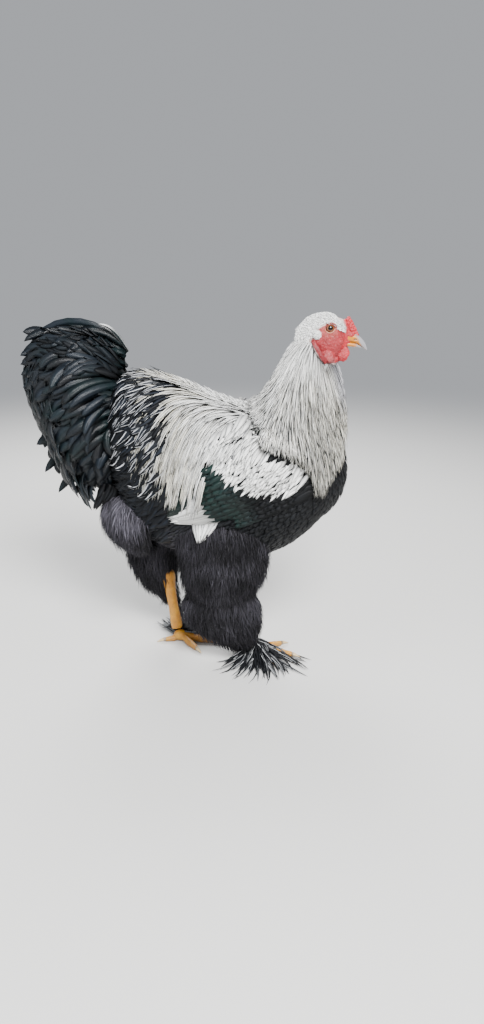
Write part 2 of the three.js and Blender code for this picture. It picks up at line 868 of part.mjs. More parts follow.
// The largest closed surface of what is left of a solid once others are cut away.
function clearOf(solid, others) {
  return largest(others.reduce((rest, other) => rest.subtract(other), solid));
}

const SIDES = [['right', RIGHT], ['left', LEFT]];

// Torso, wings and tail
const torso = dressed(torsoCore, [
  ...saddleFeathers(RIGHT),
  ...saddleFeathers(LEFT),
  ...cushionFeathers(RIGHT),
  ...cushionFeathers(LEFT),
  ...rumpFeathers(),
]);
addNode('torso', clearOf(torso.solid, []), finish('black'));
const wings = SIDES.map(([name, side]) => {
  const wing = dressed((grow) => wingPad(side, grow), wingFeathers(side));
  addNode(`wing_${name}`, clearOf(wing.solid, [torso.grown]), finish('white'));
  return wing.grown;
});
const tailPlumes = [...tailFeathers(RIGHT), ...tailFeathers(LEFT)];
const tail = dressed((grow) => loftSolid(tailShape, 6, 12, grow - 5), tailPlumes);
addNode('tail', clearOf(tail.solid, [torso.grown]), finish('green'));

// Neck and head
const head = dressed((grow) => joined([headCore(grow), eyelid(RIGHT), eyelid(LEFT)]), [
  ...earFeathers(RIGHT),
  ...earFeathers(LEFT),
]);
const eyesGrown = joined([eyeBall(LEFT, GAP), eyeBall(RIGHT, GAP)]);
addNode('head', clearOf(head.solid, [eyesGrown]), finish('red'));
const neck = dressed((grow) => loftSolid(capeShape, 7, 16, grow), hackleFeathers());
addNode('neck', clearOf(neck.solid, [torso.grown, ...wings, head.grown]), finish('silver'));
const beakGrown = joined([beakUpper(GAP), beakLower(GAP)]);
const nostrils = [nostril(RIGHT), nostril(LEFT)];
addNode('beak_upper', clearOf(beakUpper(), [head.grown, ...nostrils]), finish('horn', 0.4));
addNode('beak_lower', clearOf(beakLower(), [head.grown, beakUpper(GAP)]), finish('horn', 0.4));
addNode('comb', clearOf(combPeas(), [head.grown, beakGrown]), finish('red', 0.5));
for (const [name, side] of SIDES) {
  addNode(`eye_${name}`, clearOf(eyeBall(side), []), finish('eye', 0.1));
  const face = [head.grown, beakGrown, neck.grown];
  addNode(`wattle_${name}`, clearOf(wattle(side), face), finish('red', 0.5));
  addNode(`earlobe_${name}`, clearOf(earlobe(side), face), finish('red', 0.5));
}

// Legs
const floor = floorBlock();
for (const [name, leg] of Object.entries(LEGS)) {
  const thighShape = loft(sided(leg, leg.thigh), 0.92);
  const thighRows = leg.stocking ? [[1.6, 3.4], [3.2, 5]] : [[1.6, 3.4], [3.4, 5.8]];
  const thigh = dressed((grow) => thighCore(leg, grow), legFeathers(thighShape, thighRows, 6));
  addNode(`thigh_${name}`, clearOf(thigh.solid, [torso.grown, ...wings]), finish('down'));
  const shankPlumes = leg.stocking
    ? legFeathers(loft(sided(leg, leg.stocking), 0.95), [[0.8, 2.6], [2.4, 4.2]], 6, 1)
    : shankFeathers(leg);
  const shankBody = (grow) => {
    const bare = shankCore(leg, grow);
    return leg.stocking ? joined([bare, stockingCore(leg, grow)]) : bare;
  };
  const shank = dressed(shankBody, shankPlumes);
  addNode(`shank_${name}`, clearOf(shank.solid, [thigh.grown, floor]), finish('yellow', 0.6));
  const foot = dressed((grow) => footCore(leg, grow), footFeathers(leg));
  addNode(`foot_${name}`, clearOf(foot.solid, [shank.grown, floor]), finish('yellow', 0.6));
  for (const toe of Object.keys(TOES)) {
    const claw = clearOf(clawSolid(leg, toe), [foot.grown, floor]);
    addNode(`claw_${name}_${toe}`, claw, finish('horn', 0.4));
  }
}

// The origin is on the floor under the middle of the whole bird.
const box = new THREE.Box3().setFromObject(root);
const middle = box.getCenter(new THREE.Vector3());
root.position.set(-middle.x, -middle.y, -box.min.z);
root.updateMatrixWorld(true);

export default root;
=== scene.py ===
"""A life-size standing Brahma cock: skin, plumage, face, eyes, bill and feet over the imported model."""
import math

import bpy
import numpy as np
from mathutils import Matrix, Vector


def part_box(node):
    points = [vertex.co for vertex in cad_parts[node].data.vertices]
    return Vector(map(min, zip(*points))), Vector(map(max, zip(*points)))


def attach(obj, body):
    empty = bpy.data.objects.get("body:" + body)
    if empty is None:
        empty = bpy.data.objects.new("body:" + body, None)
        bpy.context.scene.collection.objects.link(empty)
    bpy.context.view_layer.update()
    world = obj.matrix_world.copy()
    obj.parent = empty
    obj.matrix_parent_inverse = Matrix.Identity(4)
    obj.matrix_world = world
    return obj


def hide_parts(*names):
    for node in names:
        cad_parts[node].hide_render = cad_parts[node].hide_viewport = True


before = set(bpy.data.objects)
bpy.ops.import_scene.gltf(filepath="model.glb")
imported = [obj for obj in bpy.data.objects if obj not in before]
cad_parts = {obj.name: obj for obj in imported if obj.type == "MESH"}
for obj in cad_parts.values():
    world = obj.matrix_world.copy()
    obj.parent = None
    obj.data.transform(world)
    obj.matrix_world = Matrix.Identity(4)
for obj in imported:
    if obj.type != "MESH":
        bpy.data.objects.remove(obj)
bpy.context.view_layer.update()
rng = np.random.default_rng(41)

# Sizes in millimetres. The bird faces +X, its left is +Y and the floor is z = 0.
MM = 0.001
EYE = (176.0, 21.5, 618.0)
EYE_RADIUS = 7.0
LEFT = 1
RIGHT = -1
FULL_TURN = 2 * np.pi
SKIN_DEPTH = 11.0  # plumage over the body's skin
TAIL_DEPTH = 20.0  # and over the tail's
WING_DEPTH = 8.0  # and over the wing's

TORSO = [
    (-205, 500, 345, 44),
    (-180, 532, 292, 74),
    (-140, 536, 238, 98),
    (-85, 523, 214, 108),
    (-20, 497, 208, 111),
    (45, 476, 208, 111),
    (105, 462, 228, 104),
    (155, 455, 268, 86),
    (190, 442, 316, 60),
    (211, 418, 366, 26),
]
FLUFF = dict(x=-152, z=282, rx=80, ry=88, rz=66)
CAPE = [
    (131, 612, 176, 588, 24),
    (110, 584, 192, 556, 36),
    (92, 551, 203, 515, 50),
    (76, 520, 208, 470, 64),
    (58, 497, 211, 425, 82),
    (42, 484, 211, 385, 98),
    (28, 478, 203, 345, 110),
]
WING = dict(x=10, z=374, half=126, high=66, out=19, tilt=math.radians(25), flank=111)
TAIL = [
    (-176, 556, 330, 46),
    (-205, 590, 322, 66),
    (-240, 611, 328, 78),
    (-280, 614, 356, 76),
    (-315, 606, 404, 60),
    (-343, 580, 480, 30),
]
HEAD = [
    (126, 603, 17, 20, 18),
    (138, 606, 26, 30, 24),
    (156, 607, 32, 40, 27),
    (174, 605, 35, 42, 27.5),
    (189, 601, 33, 36, 24.5),
    (200, 598, 31.5, 23, 14.5),
    (207, 597, 21.5, 11, 9),
    (212, 597, 10, 6, 6),
]
THIGH_RIGHT = [
    (-6, 60, 322, 62, 30),
    (-4, 64, 285, 82, 46),
    (-2, 64, 240, 80, 50),
    (-2, 60, 200, 76, 48),
    (-6, 56, 168, 68, 42),
    (-8, 53, 150, 50, 32),
]
STOCKING = [
    (-8, 51, 149.6, 52, 33),
    (-8, 51, 128, 69, 43),
    (-6, 49, 98, 70, 43),
    (4, 44, 66, 58, 36),
    (18, 37, 40, 36, 24),
    (27, 33, 24, 16, 12),
]
THIGH_LEFT = [
    (-100, 58, 318, 50, 28),
    (-112, 62, 285, 72, 44),
    (-132, 62, 240, 72, 48),
    (-148, 58, 195, 58, 42),
    (-150, 52, 150, 44, 32),
    (-142, 47, 112, 30, 21),
    (-136, 44, 98, 14, 11),
]
LEGS = {
    "right": dict(side=RIGHT, hock=(-26, 50, 158), ankle=(42, 26, 27), ball=(57, 20), turn=14),
    "left": dict(side=LEFT, hock=(-124, 36, 146), ankle=(-104, 19, 25), ball=(-94, 15), turn=-8),
}
TOES = {  # toe: angle outwards from the foot's own forward, length, radius
    2: (-42, 54, 7.2),
    3: (0, 72, 7.8),
    4: (36, 58, 6.8),
    1: (205, 34, 6.2),
}
SHANK_RADII = (9.2, 11.2)  # across and along the bird
SCUTE = 3.6  # length of a toe's scute
CLAW_LENGTH = 17.0
CLAW_RADIUS = 4.2
CLAW_HEIGHT = 1.5  # the lowest middle of a claw
FLOOR_GAP = 0.3  # the lowest that anything reaches
WING_CLEAR = 3.0  # the saddle's and cushion's distance outside the wing
TAIL_BACK = -353.0  # the furthest back that a tail feather reaches
TAIL_TOP = 634.0  # and the highest
BREAST = dict(centre=(140, 0, 369), radii=(74, 87, 93))
HOCK = dict(centre=(-7, 54, 160), radii=(65, 43, 36))
EAR_TUFT = dict(centre=(155.0, 22.5, 608.5), radii=(8.0, 6.5, 7.5))
FOOT_REACH = 146  # half width that the foot feathers keep to
FLOOR_HALF = 9000
UNDERSIDE = 0.3  # a vane's depth below its middle, as a share of the one above
BAKE_PATCH = 0.003  # width of a feather's patch on the map OFBake
BAKE_EDGES = (0.01, 0.98)

low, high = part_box("eye_right")
SHIFT = np.array((low + high) / 2) - np.array([EYE[0], -EYE[1], EYE[2]]) * MM

# Colours, linear
WHITE = np.array((0.90, 0.90, 0.88))
CREAM = np.array((0.86, 0.81, 0.66))
BLACK = np.array((0.0045, 0.005, 0.006))
GREEN = np.array((0.004, 0.014, 0.012))
SLATE = np.array((0.037, 0.035, 0.043))
GREY = np.array((0.42, 0.42, 0.44))
PALE_SKIN = np.array((0.62, 0.58, 0.54))
CHEEK = np.array((0.27, 0.016, 0.022))
EYE_SKIN = np.array((0.27, 0.032, 0.024))
COMB_RED = np.array((0.42, 0.010, 0.020))
WATTLE_RED = np.array((0.38, 0.010, 0.019))
LOBE_RED = np.array((0.15, 0.004, 0.009))
CHIN = np.array((0.38, 0.10, 0.10))
# Dark lash line of the upper lid, with its painted shadow
UPPER_LID_LASH_AND_SHADOW = np.array((0.10, 0.03, 0.025))
LOWER_LID = np.array((0.60, 0.30, 0.18))
TAIL_TONE = (0.005, 0.008, 0.012)  # the bluest that single feathers get
TAIL_TOP_TONE = (0.005, 0.008, 0.011)
CUSHION_TONE = (0.007, 0.010, 0.016)
LACE = (0.80, 0.81, 0.84)
FOOT_LACE = (0.50, 0.51, 0.52)
STUDIO = (0.44, 0.455, 0.48)  # what the backdrop sends out

# The bare red face in the side view; past it the head is feathered
FACE = [
    (157, 617.5), (163, 621.5), (172.5, 625.3), (183.5, 624), (192, 617), (203, 609.5), (204, 618),
    (200, 627), (197.5, 634), (197.5, 650), (240, 650), (240, 555), (200, 555), (186, 560), (180, 560),
    (176, 553.5), (169, 557), (155, 579), (144.5, 596), (148, 604.5), (160, 604), (162, 610),
]
# The hackle's lower rim in the side view
RIM_X = (-50, 40, 58, 72, 98, 115, 136, 152, 158, 173, 184, 197, 210)
RIM_Z = (520, 486, 452, 436, 426, 417, 400, 382, 346, 340, 360, 383, 392)


# Surfaces

def spline(points, t):
    """Uniform Catmull-Rom through the points, at t from 0 to their last index."""
    points = np.asarray(points, float)
    last = len(points) - 1
    padded = np.vstack([2 * points[0] - points[1], points, 2 * points[-1] - points[-2]])
    t = np.clip(t, 0, last)
    i = np.minimum(t.astype(int), last - 1)
    w = (t - i)[..., None]
    p0, p1, p2, p3 = (padded[i + k] for k in range(4))
    v0 = (p2 - p0) / 2
    v1 = (p3 - p1) / 2
    cubic = 2 * p1 - 2 * p2 + v0 + v1
    square = -3 * p1 + 3 * p2 - 2 * v0 - v1
    return ((cubic * w + square) * w + v0) * w + p1


def unit(v):
    return v / np.maximum(np.linalg.norm(v, axis=-1, keepdims=True), 1e-9)


def fade(value, start, span):
    """0 at the start, 1 when the span is passed; a negative span runs downwards."""
    return np.clip((value - start) / span, 0, 1)


def spread(a, *others):
    return np.broadcast_arrays(np.asarray(a, float), *others)


def band(first, second, around):
    """Faces between two rings of points that start at these indices."""
    wrapped = [(j, (j + 1) % around) for j in range(around)]
    return [(first + j, second + j, second + k, first + k) for j, k in wrapped]


END_STEP = 0.25  # the stretch of t before a loft's end that gives its direction


class Loft:
    """Rings with a centre, an up half axis, a side half axis and the lower half's share of up."""

    def __init__(self, rings, square=1.0):
        self.centre, self.up, self.side = (np.array([r[i] for r in rings], float) for i in range(3))
        self.down = np.array([[r[3] if len(r) > 3 else 1.0] for r in rings])
        self.last = len(rings) - 1
        self.square = square

    def at(self, t, angle, lift=0.0):
        """Points of the surface at t and an angle from the side axis, lifted off it."""
        t, angle, lift = spread(t, angle, lift)
        c, s = np.cos(angle), np.sin(angle)
        down = spline(self.down, t)[..., 0]
        across = np.sign(c) * np.abs(c) ** self.square
        along = np.sign(s) * np.abs(s) ** self.square * np.where(s < 0, down, 1.0)
        up = spline(self.up, t)
        side = spline(self.side, t)
        up_size = np.linalg.norm(up, axis=-1) + lift
        side_size = np.linalg.norm(side, axis=-1) + lift
        return (
            spline(self.centre, t)
            + unit(side) * (side_size * across)[..., None]
            + unit(up) * (up_size * along)[..., None]
        )

    def place(self, t, angle, lift=0.0):
        """at(), running straight on past both ends."""
        t, angle, lift = spread(t, angle, lift)
        inside = self.at(t, angle, lift)
        over = np.where(t > self.last, t - self.last, np.minimum(t, 0.0))
        edge = np.where(t > self.last, self.last, 0.0)
        inner = np.where(t > self.last, self.last - END_STEP, END_STEP)
        run = self.at(edge, angle, lift) - self.at(inner, angle, lift)
        return inside + run * (np.abs(over) / END_STEP)[..., None]

    def mesh(self, rows, segments, lift=0.0, swell=None):
        """Closed grid: vertices and faces."""
        t = np.linspace(0, self.last, rows + 1)[:, None]
        angle = np.linspace(0, FULL_TURN, segments, endpoint=False)[None, :]
        grid = self.at(t, angle, lift)
        if swell is not None:
            middle = spline(self.centre, t)
            grid = middle + (grid - middle) * swell(t, angle)[..., None]
        ends = spline(self.centre, np.array([0.0, self.last]))
        faces = []
        for i in range(rows):
            near, far = i * segments, (i + 1) * segments
            faces += [(p, s, r, q) for p, q, r, s in band(near, far, segments)]
        hub = (rows + 1) * segments
        for j in range(segments):
            k = (j + 1) % segments
            faces.append((hub, k, j))
            faces.append((hub + 1, rows * segments + j, rows * segments + k))
        return np.vstack([grid.reshape(-1, 3), ends]), faces


def section_rings(rows):
    return [((x, 0, (t + b) / 2), (0, 0, (t - b) / 2), (0, w, 0)) for x, t, b, w in rows]


def leg_rings(rows, side):
    return [((x, side * y, z), (a, 0, 0), (0, w, 0)) for x, y, z, a, w in rows]


def path_rings(points, across, upwards, reference=(0, 0, 1)):
    """Rings square to a path, with half sizes across it and upwards."""
    points = np.asarray(points, float)
    rings = []
    for i, centre in enumerate(points):
        before = points[max(0, i - 1)]
        after = points[min(len(points) - 1, i + 1)]
        along = unit(after - before)
        side = unit(np.cross(reference, along))
        up = unit(np.cross(along, side))
        rings.append((centre, up * upwards[i], side * across[i]))
    return rings


torso = Loft(section_rings(TORSO), 0.86)
tail = Loft(section_rings(TAIL), 0.9)
head = Loft([((x, 0, z), (0, 0, u), (0, w, 0), d / u) for x, z, u, d, w in HEAD], 0.94)
cape = Loft(
    [
        (((bx + fx) / 2, 0, (bz + fz) / 2), ((bx - fx) / 2, 0, (bz - fz) / 2), (0, w, 0))
        for bx, bz, fx, fz, w in CAPE
    ],
    0.92,
)
thigh_right = Loft(leg_rings(THIGH_RIGHT, RIGHT), 0.92)
thigh_left = Loft(leg_rings(THIGH_LEFT, LEFT), 0.92)
stocking = Loft(leg_rings(STOCKING, RIGHT), 0.95)


def section(loft, t):
    """Centre height, upper half height and half width of a body loft at t."""
    sizes = (np.linalg.norm(spline(axis, t), axis=-1) for axis in (loft.up, loft.side))
    return (spline(loft.centre, t)[..., 2], *sizes)


def tail_section(x):
    return section(tail, (x - TAIL[0][0]) / (TAIL[-1][0] - TAIL[0][0]) * tail.last)


TORSO_T = np.linspace(0, torso.last, 400)
TORSO_X = spline(torso.centre, TORSO_T)[:, 0]


def torso_t(x):
    return np.interp(x, TORSO_X, TORSO_T)


def wing_reach(x, z):
    """How far out the folded wing reaches at a point of the side view, or 0 outside it."""
    dx, dz = x - WING["x"], z - WING["z"]
    c, s = math.cos(WING["tilt"]), math.sin(WING["tilt"])
    u = (dx * c + dz * s) / WING["half"]
    v = (dz * c - dx * s) / WING["high"]
    inside = 1 - u * u - v * v
    reach = WING["flank"] - WING["out"] + 2 * WING["out"] * np.sqrt(np.maximum(inside, 0))
    return np.where(inside > 0, reach, 0.0)


def torso_reach(x, z):
    """The torso's half width at a point of the side view, or 0 outside it."""
    centre, high, half = section(torso, torso_t(x))
    share = np.clip(np.abs(z - centre) / high, 0, 1)
    sine = share ** (1 / torso.square)
    return half * np.maximum(1 - sine ** 2, 0) ** (torso.square / 2)


def torso_place(x, angle, lift):
    """A place on the torso by x and angle, running straight on behind its last section."""
    x, angle, lift = spread(x, angle, lift)
    p = torso.at(torso_t(x), angle, lift)
    p[..., 0] += np.minimum(x - TORSO_X[0], 0)
    return p


def over_flank(side):
    """A place on the torso by x and angle that passes outside the folded wing."""
    def place(x, angle, lift):
        p = torso_place(x, angle, lift)
        clear = wing_reach(p[..., 0], p[..., 2])
        y = np.where(clear > 0, np.maximum(p[..., 1], clear + WING_CLEAR + lift), p[..., 1])
        p[..., 1] = side * y
        return p
    return place


def neck_place(t, angle, lift):
    """A place on the hackle's surface; past the rim it lies on the shoulders and the wing."""
    p = cape.place(t, angle, lift)
    t = np.asarray(t)
    over = fade(t, 3.6, 1)
    beyond = fade(t, 5.4, 0.8)
    wing = wing_reach(p[..., 0], p[..., 2])
    reach = np.maximum(torso_reach(p[..., 0], p[..., 2]) + 3, np.where(wing > 0, wing + 8, 0)) + lift
    y = np.abs(p[..., 1])
    outside = y * (1 - over) + np.maximum(y, reach) * over
    held = outside * (1 - beyond) + np.minimum(outside, reach + 6) * beyond
    flank = fade(y, 30, 40)
    p[..., 1] = np.sign(p[..., 1]) * (y * (1 - flank) + held * flank)
    return p


def wing_place(side):
    """A place on the folded wing by its own axes: u towards the front and v upwards."""
    c, s = math.cos(WING["tilt"]), math.sin(WING["tilt"])

    def place(u, v, lift):
        u, v, lift = spread(u, v, lift)
        out = np.sqrt(np.maximum(0.1, 1 - u * u - v * v)) * WING["out"] * 2 + lift
        a, b = u * WING["half"], v * WING["high"]
        y = side * (WING["flank"] - WING["out"] + out)
        return np.stack([WING["x"] + a * c - b * s, y, WING["z"] + a * s + b * c], -1)
    return place


def tail_place(side):
    """A place on the tail by its side view; it closes on the midline past the outline."""
    def place(x, z, lift):
        x, z, lift = spread(x, z, lift)
        centre, high, half = tail_section(x)
        share = (z - centre) / high
        y = half * np.sqrt(np.maximum(0, 1 - share * share)) + lift
        return np.stack([x, side * np.maximum(y, 2.0 + lift / 3), z], -1)
    return place


def ball_place(centre, radii, side=LEFT, facing=1):
    """A place on an ellipsoid by turn from the way it faces towards the side, and tilt upwards."""
    def place(turn, tilt, lift):
        turn, tilt, lift = spread(turn, tilt, lift)
        reach = np.cos(tilt)
        return np.stack(
            [
                centre[0] + facing * np.cos(turn) * reach * (radii[0] + lift),
                side * (centre[1] + np.sin(turn) * reach * (radii[1] + lift)),
                centre[2] + np.sin(tilt) * (radii[2] + lift),
            ],
            -1,
        )
    return place


rump_place = ball_place((FLUFF["x"], 0, FLUFF["z"]), (FLUFF["rx"], FLUFF["ry"], FLUFF["rz"]), facing=-1)


def tilt_first(place):
    """The same ellipsoid's place, with the tilt before the turn."""
    return lambda tilt, turn, lift: place(turn, tilt, lift)


def rim(x):
    """Height of the hackle's lower rim in the side view."""
    return np.interp(x, RIM_X, RIM_Z)


def over_wing(side):
    """The wing's place, held outside the flank past the wing's own edge."""
    inner = wing_place(side)

    def place(u, v, lift):
        p = inner(u, v, lift)
        flank = torso_reach(p[..., 0], p[..., 2]) + 4 + lift
        p[..., 1] = side * np.maximum(np.abs(p[..., 1]), flank)
        return p
    return place


def inside_outline(x, z, outline):
    """Distance inside a closed outline, negative outside it."""
    x, z = np.asarray(x, float), np.asarray(z, float)
    nearest = np.full(x.shape, 1e9)
    crossings = np.zeros(x.shape, int)
    for (ax, az), (bx, bz) in zip(outline, outline[1:] + outline[:1]):
        dx, dz = bx - ax, bz - az
        t = np.clip(((x - ax) * dx + (z - az) * dz) / (dx * dx + dz * dz), 0, 1)
        nearest = np.minimum(nearest, np.hypot(x - ax - t * dx, z - az - t * dz))
        if dz:
            crossings += ((az > z) != (bz > z)) & (x < dx * (z - az) / dz + ax)
    return np.where(crossings % 2 == 1, nearest, -nearest)


def path_distance(p, path):
    """Distance of points from a path of short straight runs."""
    fine = spline(path, np.linspace(0, len(path) - 1, 24))
    return np.min(np.linalg.norm(p[:, None] - fine[None], axis=2), axis=1)


# Meshes

def add_object(name, data):
    obj = bpy.data.objects.new(name, data)
    bpy.context.scene.collection.objects.link(obj)
    return obj


def make_object(name, vertices, faces, stuff=None):
    """A mesh object from millimetre vertices."""
    data = bpy.data.meshes.new(name)
    data.from_pydata((np.asarray(vertices) * MM + SHIFT).tolist(), [], [tuple(f) for f in faces])
    data.update()
    obj = add_object(name, data)
    data.polygons.foreach_set("use_smooth", [True] * len(data.polygons))
    if stuff is not None:
        data.materials.append(stuff)
    return obj


def merged(parts):
    vertices, faces, start = [], [], 0
    for v, f in parts:
        vertices.append(v)
        faces += [tuple(i + start for i in face) for face in f]
        start += len(v)
    return np.vstack(vertices), faces


def ellipsoid(centre, radii, detail=(24, 14), turn=0.0):
    """A closed ellipsoid, turned about Y."""
    across, rows = detail
    ring = np.linspace(0, FULL_TURN, across, endpoint=False)
    points = [(0, 0, 1)]
    for i in range(1, rows):
        a = math.pi * i / rows
        points += [(math.cos(r) * math.sin(a), math.sin(r) * math.sin(a), math.cos(a)) for r in ring]
    points.append((0, 0, -1))
    p = np.array(points) * radii
    c, s = math.cos(turn), math.sin(turn)
    p = np.stack([p[:, 0] * c + p[:, 2] * s, p[:, 1], -p[:, 0] * s + p[:, 2] * c], -1)
    faces = [(0, 1 + j, 1 + (j + 1) % across) for j in range(across)]
    for a in range(1, 1 + (rows - 2) * across, across):
        faces += band(a, a + across, across)
    end = len(p) - 1
    a = 1 + (rows - 2) * across
    faces += [(end, a + (j + 1) % across, a + j) for j in range(across)]
    return p + np.asarray(centre, float), faces


def ring_tube(centre, radii, tube, segments, around):
    """A closed ring in the XZ plane."""
    a = np.linspace(0, FULL_TURN, segments, endpoint=False)[:, None]
    b = np.linspace(0, FULL_TURN, around, endpoint=False)[None, :]
    x = np.cos(a) * (radii[0] + tube * np.cos(b))
    z = np.sin(a) * (radii[1] + tube * np.cos(b))
    y = np.broadcast_to(tube * np.sin(b), x.shape)
    p = np.stack([x, y, z], -1).reshape(-1, 3) + np.asarray(centre, float)
    faces = []
    for i in range(segments):
        faces += band(i * around, (i + 1) % segments * around, around)
    return p, faces


def remesh(obj, voxel, smooth):
    """Fuses what the object holds into one closed surface."""
    modifier = obj.modifiers.new("fuse", "REMESH")
    modifier.mode = "VOXEL"
    modifier.voxel_size = voxel * MM
    modifier.use_smooth_shade = True
    relax = obj.modifiers.new("relax", "SMOOTH")
    relax.iterations = smooth
    relax.factor = 0.5
    bpy.context.view_layer.update()
    graph = bpy.context.evaluated_depsgraph_get()
    data = bpy.data.meshes.new_from_object(obj.evaluated_get(graph))
    obj.modifiers.clear()
    obj.data = data
    return obj


def coordinates(obj):
    """An object's vertices in millimetres."""
    co = np.empty(len(obj.data.vertices) * 3)
    obj.data.vertices.foreach_get("co", co)
    return (co.reshape(-1, 3) - SHIFT) / MM


def set_coordinates(obj, points):
    obj.data.vertices.foreach_set("co", (points * MM + SHIFT).ravel())
    obj.data.update()


def value_noise(p, size, seed=0):
    """Smooth noise from -1 to 1 in a space of the given cell size."""
    q = np.asarray(p) / size
    cell = np.floor(q).astype(np.int64)
    w = q - cell
    w = w * w * (3 - 2 * w)
    total = np.zeros(q.shape[:-1])
    for corner in np.ndindex(2, 2, 2):
        key = seed * 2654435761
        for axis, prime in enumerate((73856093, 19349663, 83492791)):
            key = key ^ (cell[..., axis] + corner[axis]) * prime
        key = (key ^ (key >> 13)) * 1274126177
        value = ((key ^ (key >> 16)) & 0xFFFF) / 32767.5 - 1
        for axis in range(3):
            value = value * (w[..., axis] if corner[axis] else 1 - w[..., axis])
        total += value
    return total


def paint(data, name, colours):
    """A colour for each of the mesh's points."""
    layer = data.attributes.new(name, "FLOAT_COLOR", "POINT")
    rgba = np.concatenate([colours, np.ones((len(colours), 1))], 1)
    layer.data.foreach_set("color", rgba.astype(np.float32).ravel())


def level(data, name, values):
    """A value for each of the mesh's points."""
    layer = data.attributes.new(name, "FLOAT", "POINT")
    layer.data.foreach_set("value", np.asarray(values, np.float32))


# Feathers

def unwrap(points):
    """A place on an unwrap of the body's own shape: round the body, and from bill to tail."""
    x, y, z = points[..., 0], points[..., 1], points[..., 2]
    around = np.arctan2(y, z - np.interp(x, [-350, -200, 0, 120, 180], [470, 400, 350, 430, 600]))
    u = 0.5 + around / FULL_TURN * 0.96
    v = (x + 350) / 620
    return np.clip(u, *BAKE_EDGES), np.clip(v, *BAKE_EDGES)


class Coat:
    """Feathers gathered for one piece."""

    def __init__(self, name, material, slot):
        self.name, self.material, self.slot = name, material, slot
        self.parts = []

    def add(self, points, normals, halves, thick, edge, centre, stripe, roll=0.0):
        """points and normals are (N, K, 3) with the tip last, halves is (N, K - 1) and colours (N, 3)."""
        n, k = points.shape[:2]
        way = np.empty_like(points)
        way[:, 1:-1] = points[:, 2:] - points[:, :-2]
        way[:, 0] = points[:, 1] - points[:, 0]
        way[:, -1] = points[:, -1] - points[:, -2]
        way = unit(way)
        side = unit(np.cross(normals, way))
        up = unit(np.cross(way, side))
        roll = np.broadcast_to(roll, (n,))[:, None, None]
        side, up = side * np.cos(roll) + up * np.sin(roll), up * np.cos(roll) - side * np.sin(roll)
        half = halves[..., None]
        ring = np.stack(
            [
                points[:, :-1] + side[:, :-1] * half,
                points[:, :-1] + up[:, :-1] * thick,
                points[:, :-1] - side[:, :-1] * half,
                points[:, :-1] - up[:, :-1] * thick * UNDERSIDE,
            ],
            2,
        )
        vertices = np.concatenate([ring.reshape(n, -1, 3), points[:, -1:]], 1)
        vertices[..., 2] = np.maximum(vertices[..., 2], FLOOR_GAP)
        s = np.linspace(0, 1, k)
        across = np.tile([0.0, 0.5, 1.0, 0.5], k - 1)
        lengthwise = np.repeat(s[:-1], 4)
        shape_uv = np.stack([np.append(across, 0.5), np.append(lengthwise, 1.0)], -1)
        self.parts.append(
            dict(
                vertices=vertices,
                k=k,
                uv=shape_uv,
                root=points[:, 0],
                edge=np.broadcast_to(edge, (n, 3)),
                centre=np.broadcast_to(centre, (n, 3)),
                stripe=np.broadcast_to(stripe, (n,)),
            )
        )

    def build(self):
        """One mesh with every feather, its colours and its maps."""
        corners, sizes, shape_uv, bake_uv = [], [], [], []
        start = 0
        for part in self.parts:
            n, k = len(part["vertices"]), part["k"]
            part["points"] = 4 * (k - 1) + 1
            part["tone"] = rng.random(n)
            last = 4 * (k - 2)
            quads = [
                (i + j, i + 4 + j, i + 4 + (j + 1) % 4, i + (j + 1) % 4)
                for i in range(0, last, 4)
                for j in range(4)
            ]
            tris = [(last + j, last + 4, last + (j + 1) % 4) for j in range(4)] + [(0, 1, 2), (0, 2, 3)]
            root_uv = np.stack(unwrap(part["root"]), -1)[:, None, :]
            for faces in (np.array(quads), np.array(tris)):
                local = faces.reshape(-1)
                corners.append((local + start + np.arange(n)[:, None] * part["points"]).reshape(-1))
                sizes.append(np.full(n * len(faces), faces.shape[1]))
                corner = part["uv"][local]
                shape_uv.append(np.tile(corner, (n, 1)))
                bake_uv.append((root_uv + (corner[None] - 0.5) * BAKE_PATCH).reshape(-1, 2))
            start += n * part["points"]

        def on_points(key):
            return np.concatenate([np.repeat(part[key], part["points"], 0) for part in self.parts])
        data = bpy.data.meshes.new(self.name)
        co = np.vstack([part["vertices"].reshape(-1, 3) for part in self.parts])
        index, total = np.concatenate(corners), np.concatenate(sizes)
        data.vertices.add(len(co))
        data.vertices.foreach_set("co", (co * MM + SHIFT).astype(np.float32).ravel())
        data.loops.add(len(index))
        data.loops.foreach_set("vertex_index", index.astype(np.int32))
        data.polygons.add(len(total))
        data.polygons.foreach_set("loop_start", (np.cumsum(total) - total).astype(np.int32))
        data.polygons.foreach_set("loop_total", total.astype(np.int32))
        data.polygons.foreach_set("use_smooth", np.ones(len(total), bool))
        for name, values in (("OFBake", bake_uv), ("FeatherShape", shape_uv)):
            layer = data.uv_layers.new(name=name)
            layer.data.foreach_set("uv", np.concatenate(values).astype(np.float32).ravel())
        for name in ("edge", "centre"):
            paint(data, name, on_points(name))
        for name in ("stripe", "tone"):
            level(data, name, on_points(name))
        data.update(calc_edges=True)
        data.validate()
        data.materials.append(self.material)
        obj = add_object(self.name, data)
        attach(obj, "root")
        return obj


def along(k):
    """k shares of a feather's length, from root to tip."""
    return np.linspace(0, 1, k)[None, :]


def widths(shares, half):
    return np.asarray(shares)[None, :] * half[:, None]


def on_surface(place, a, b, lift):
    """Points over a place and the ways out of it."""
    outward = 1.5
    points = place(a, b, lift)
    return points, unit(place(a, b, lift + outward) - points)


ROUND = (0.45, 0.75, 0.95, 1.0, 0.86, 0.55)  # half width along a rounded feather
LANCE = (0.55, 0.9, 1.0, 0.85, 0.6, 0.33)  # along a long, pointed feather
BROAD = (0.35, 0.7, 0.9, 1.0, 1.0, 0.97, 0.9, 0.72, 0.45)
WISP = (0.6, 1.0, 0.8, 0.45)


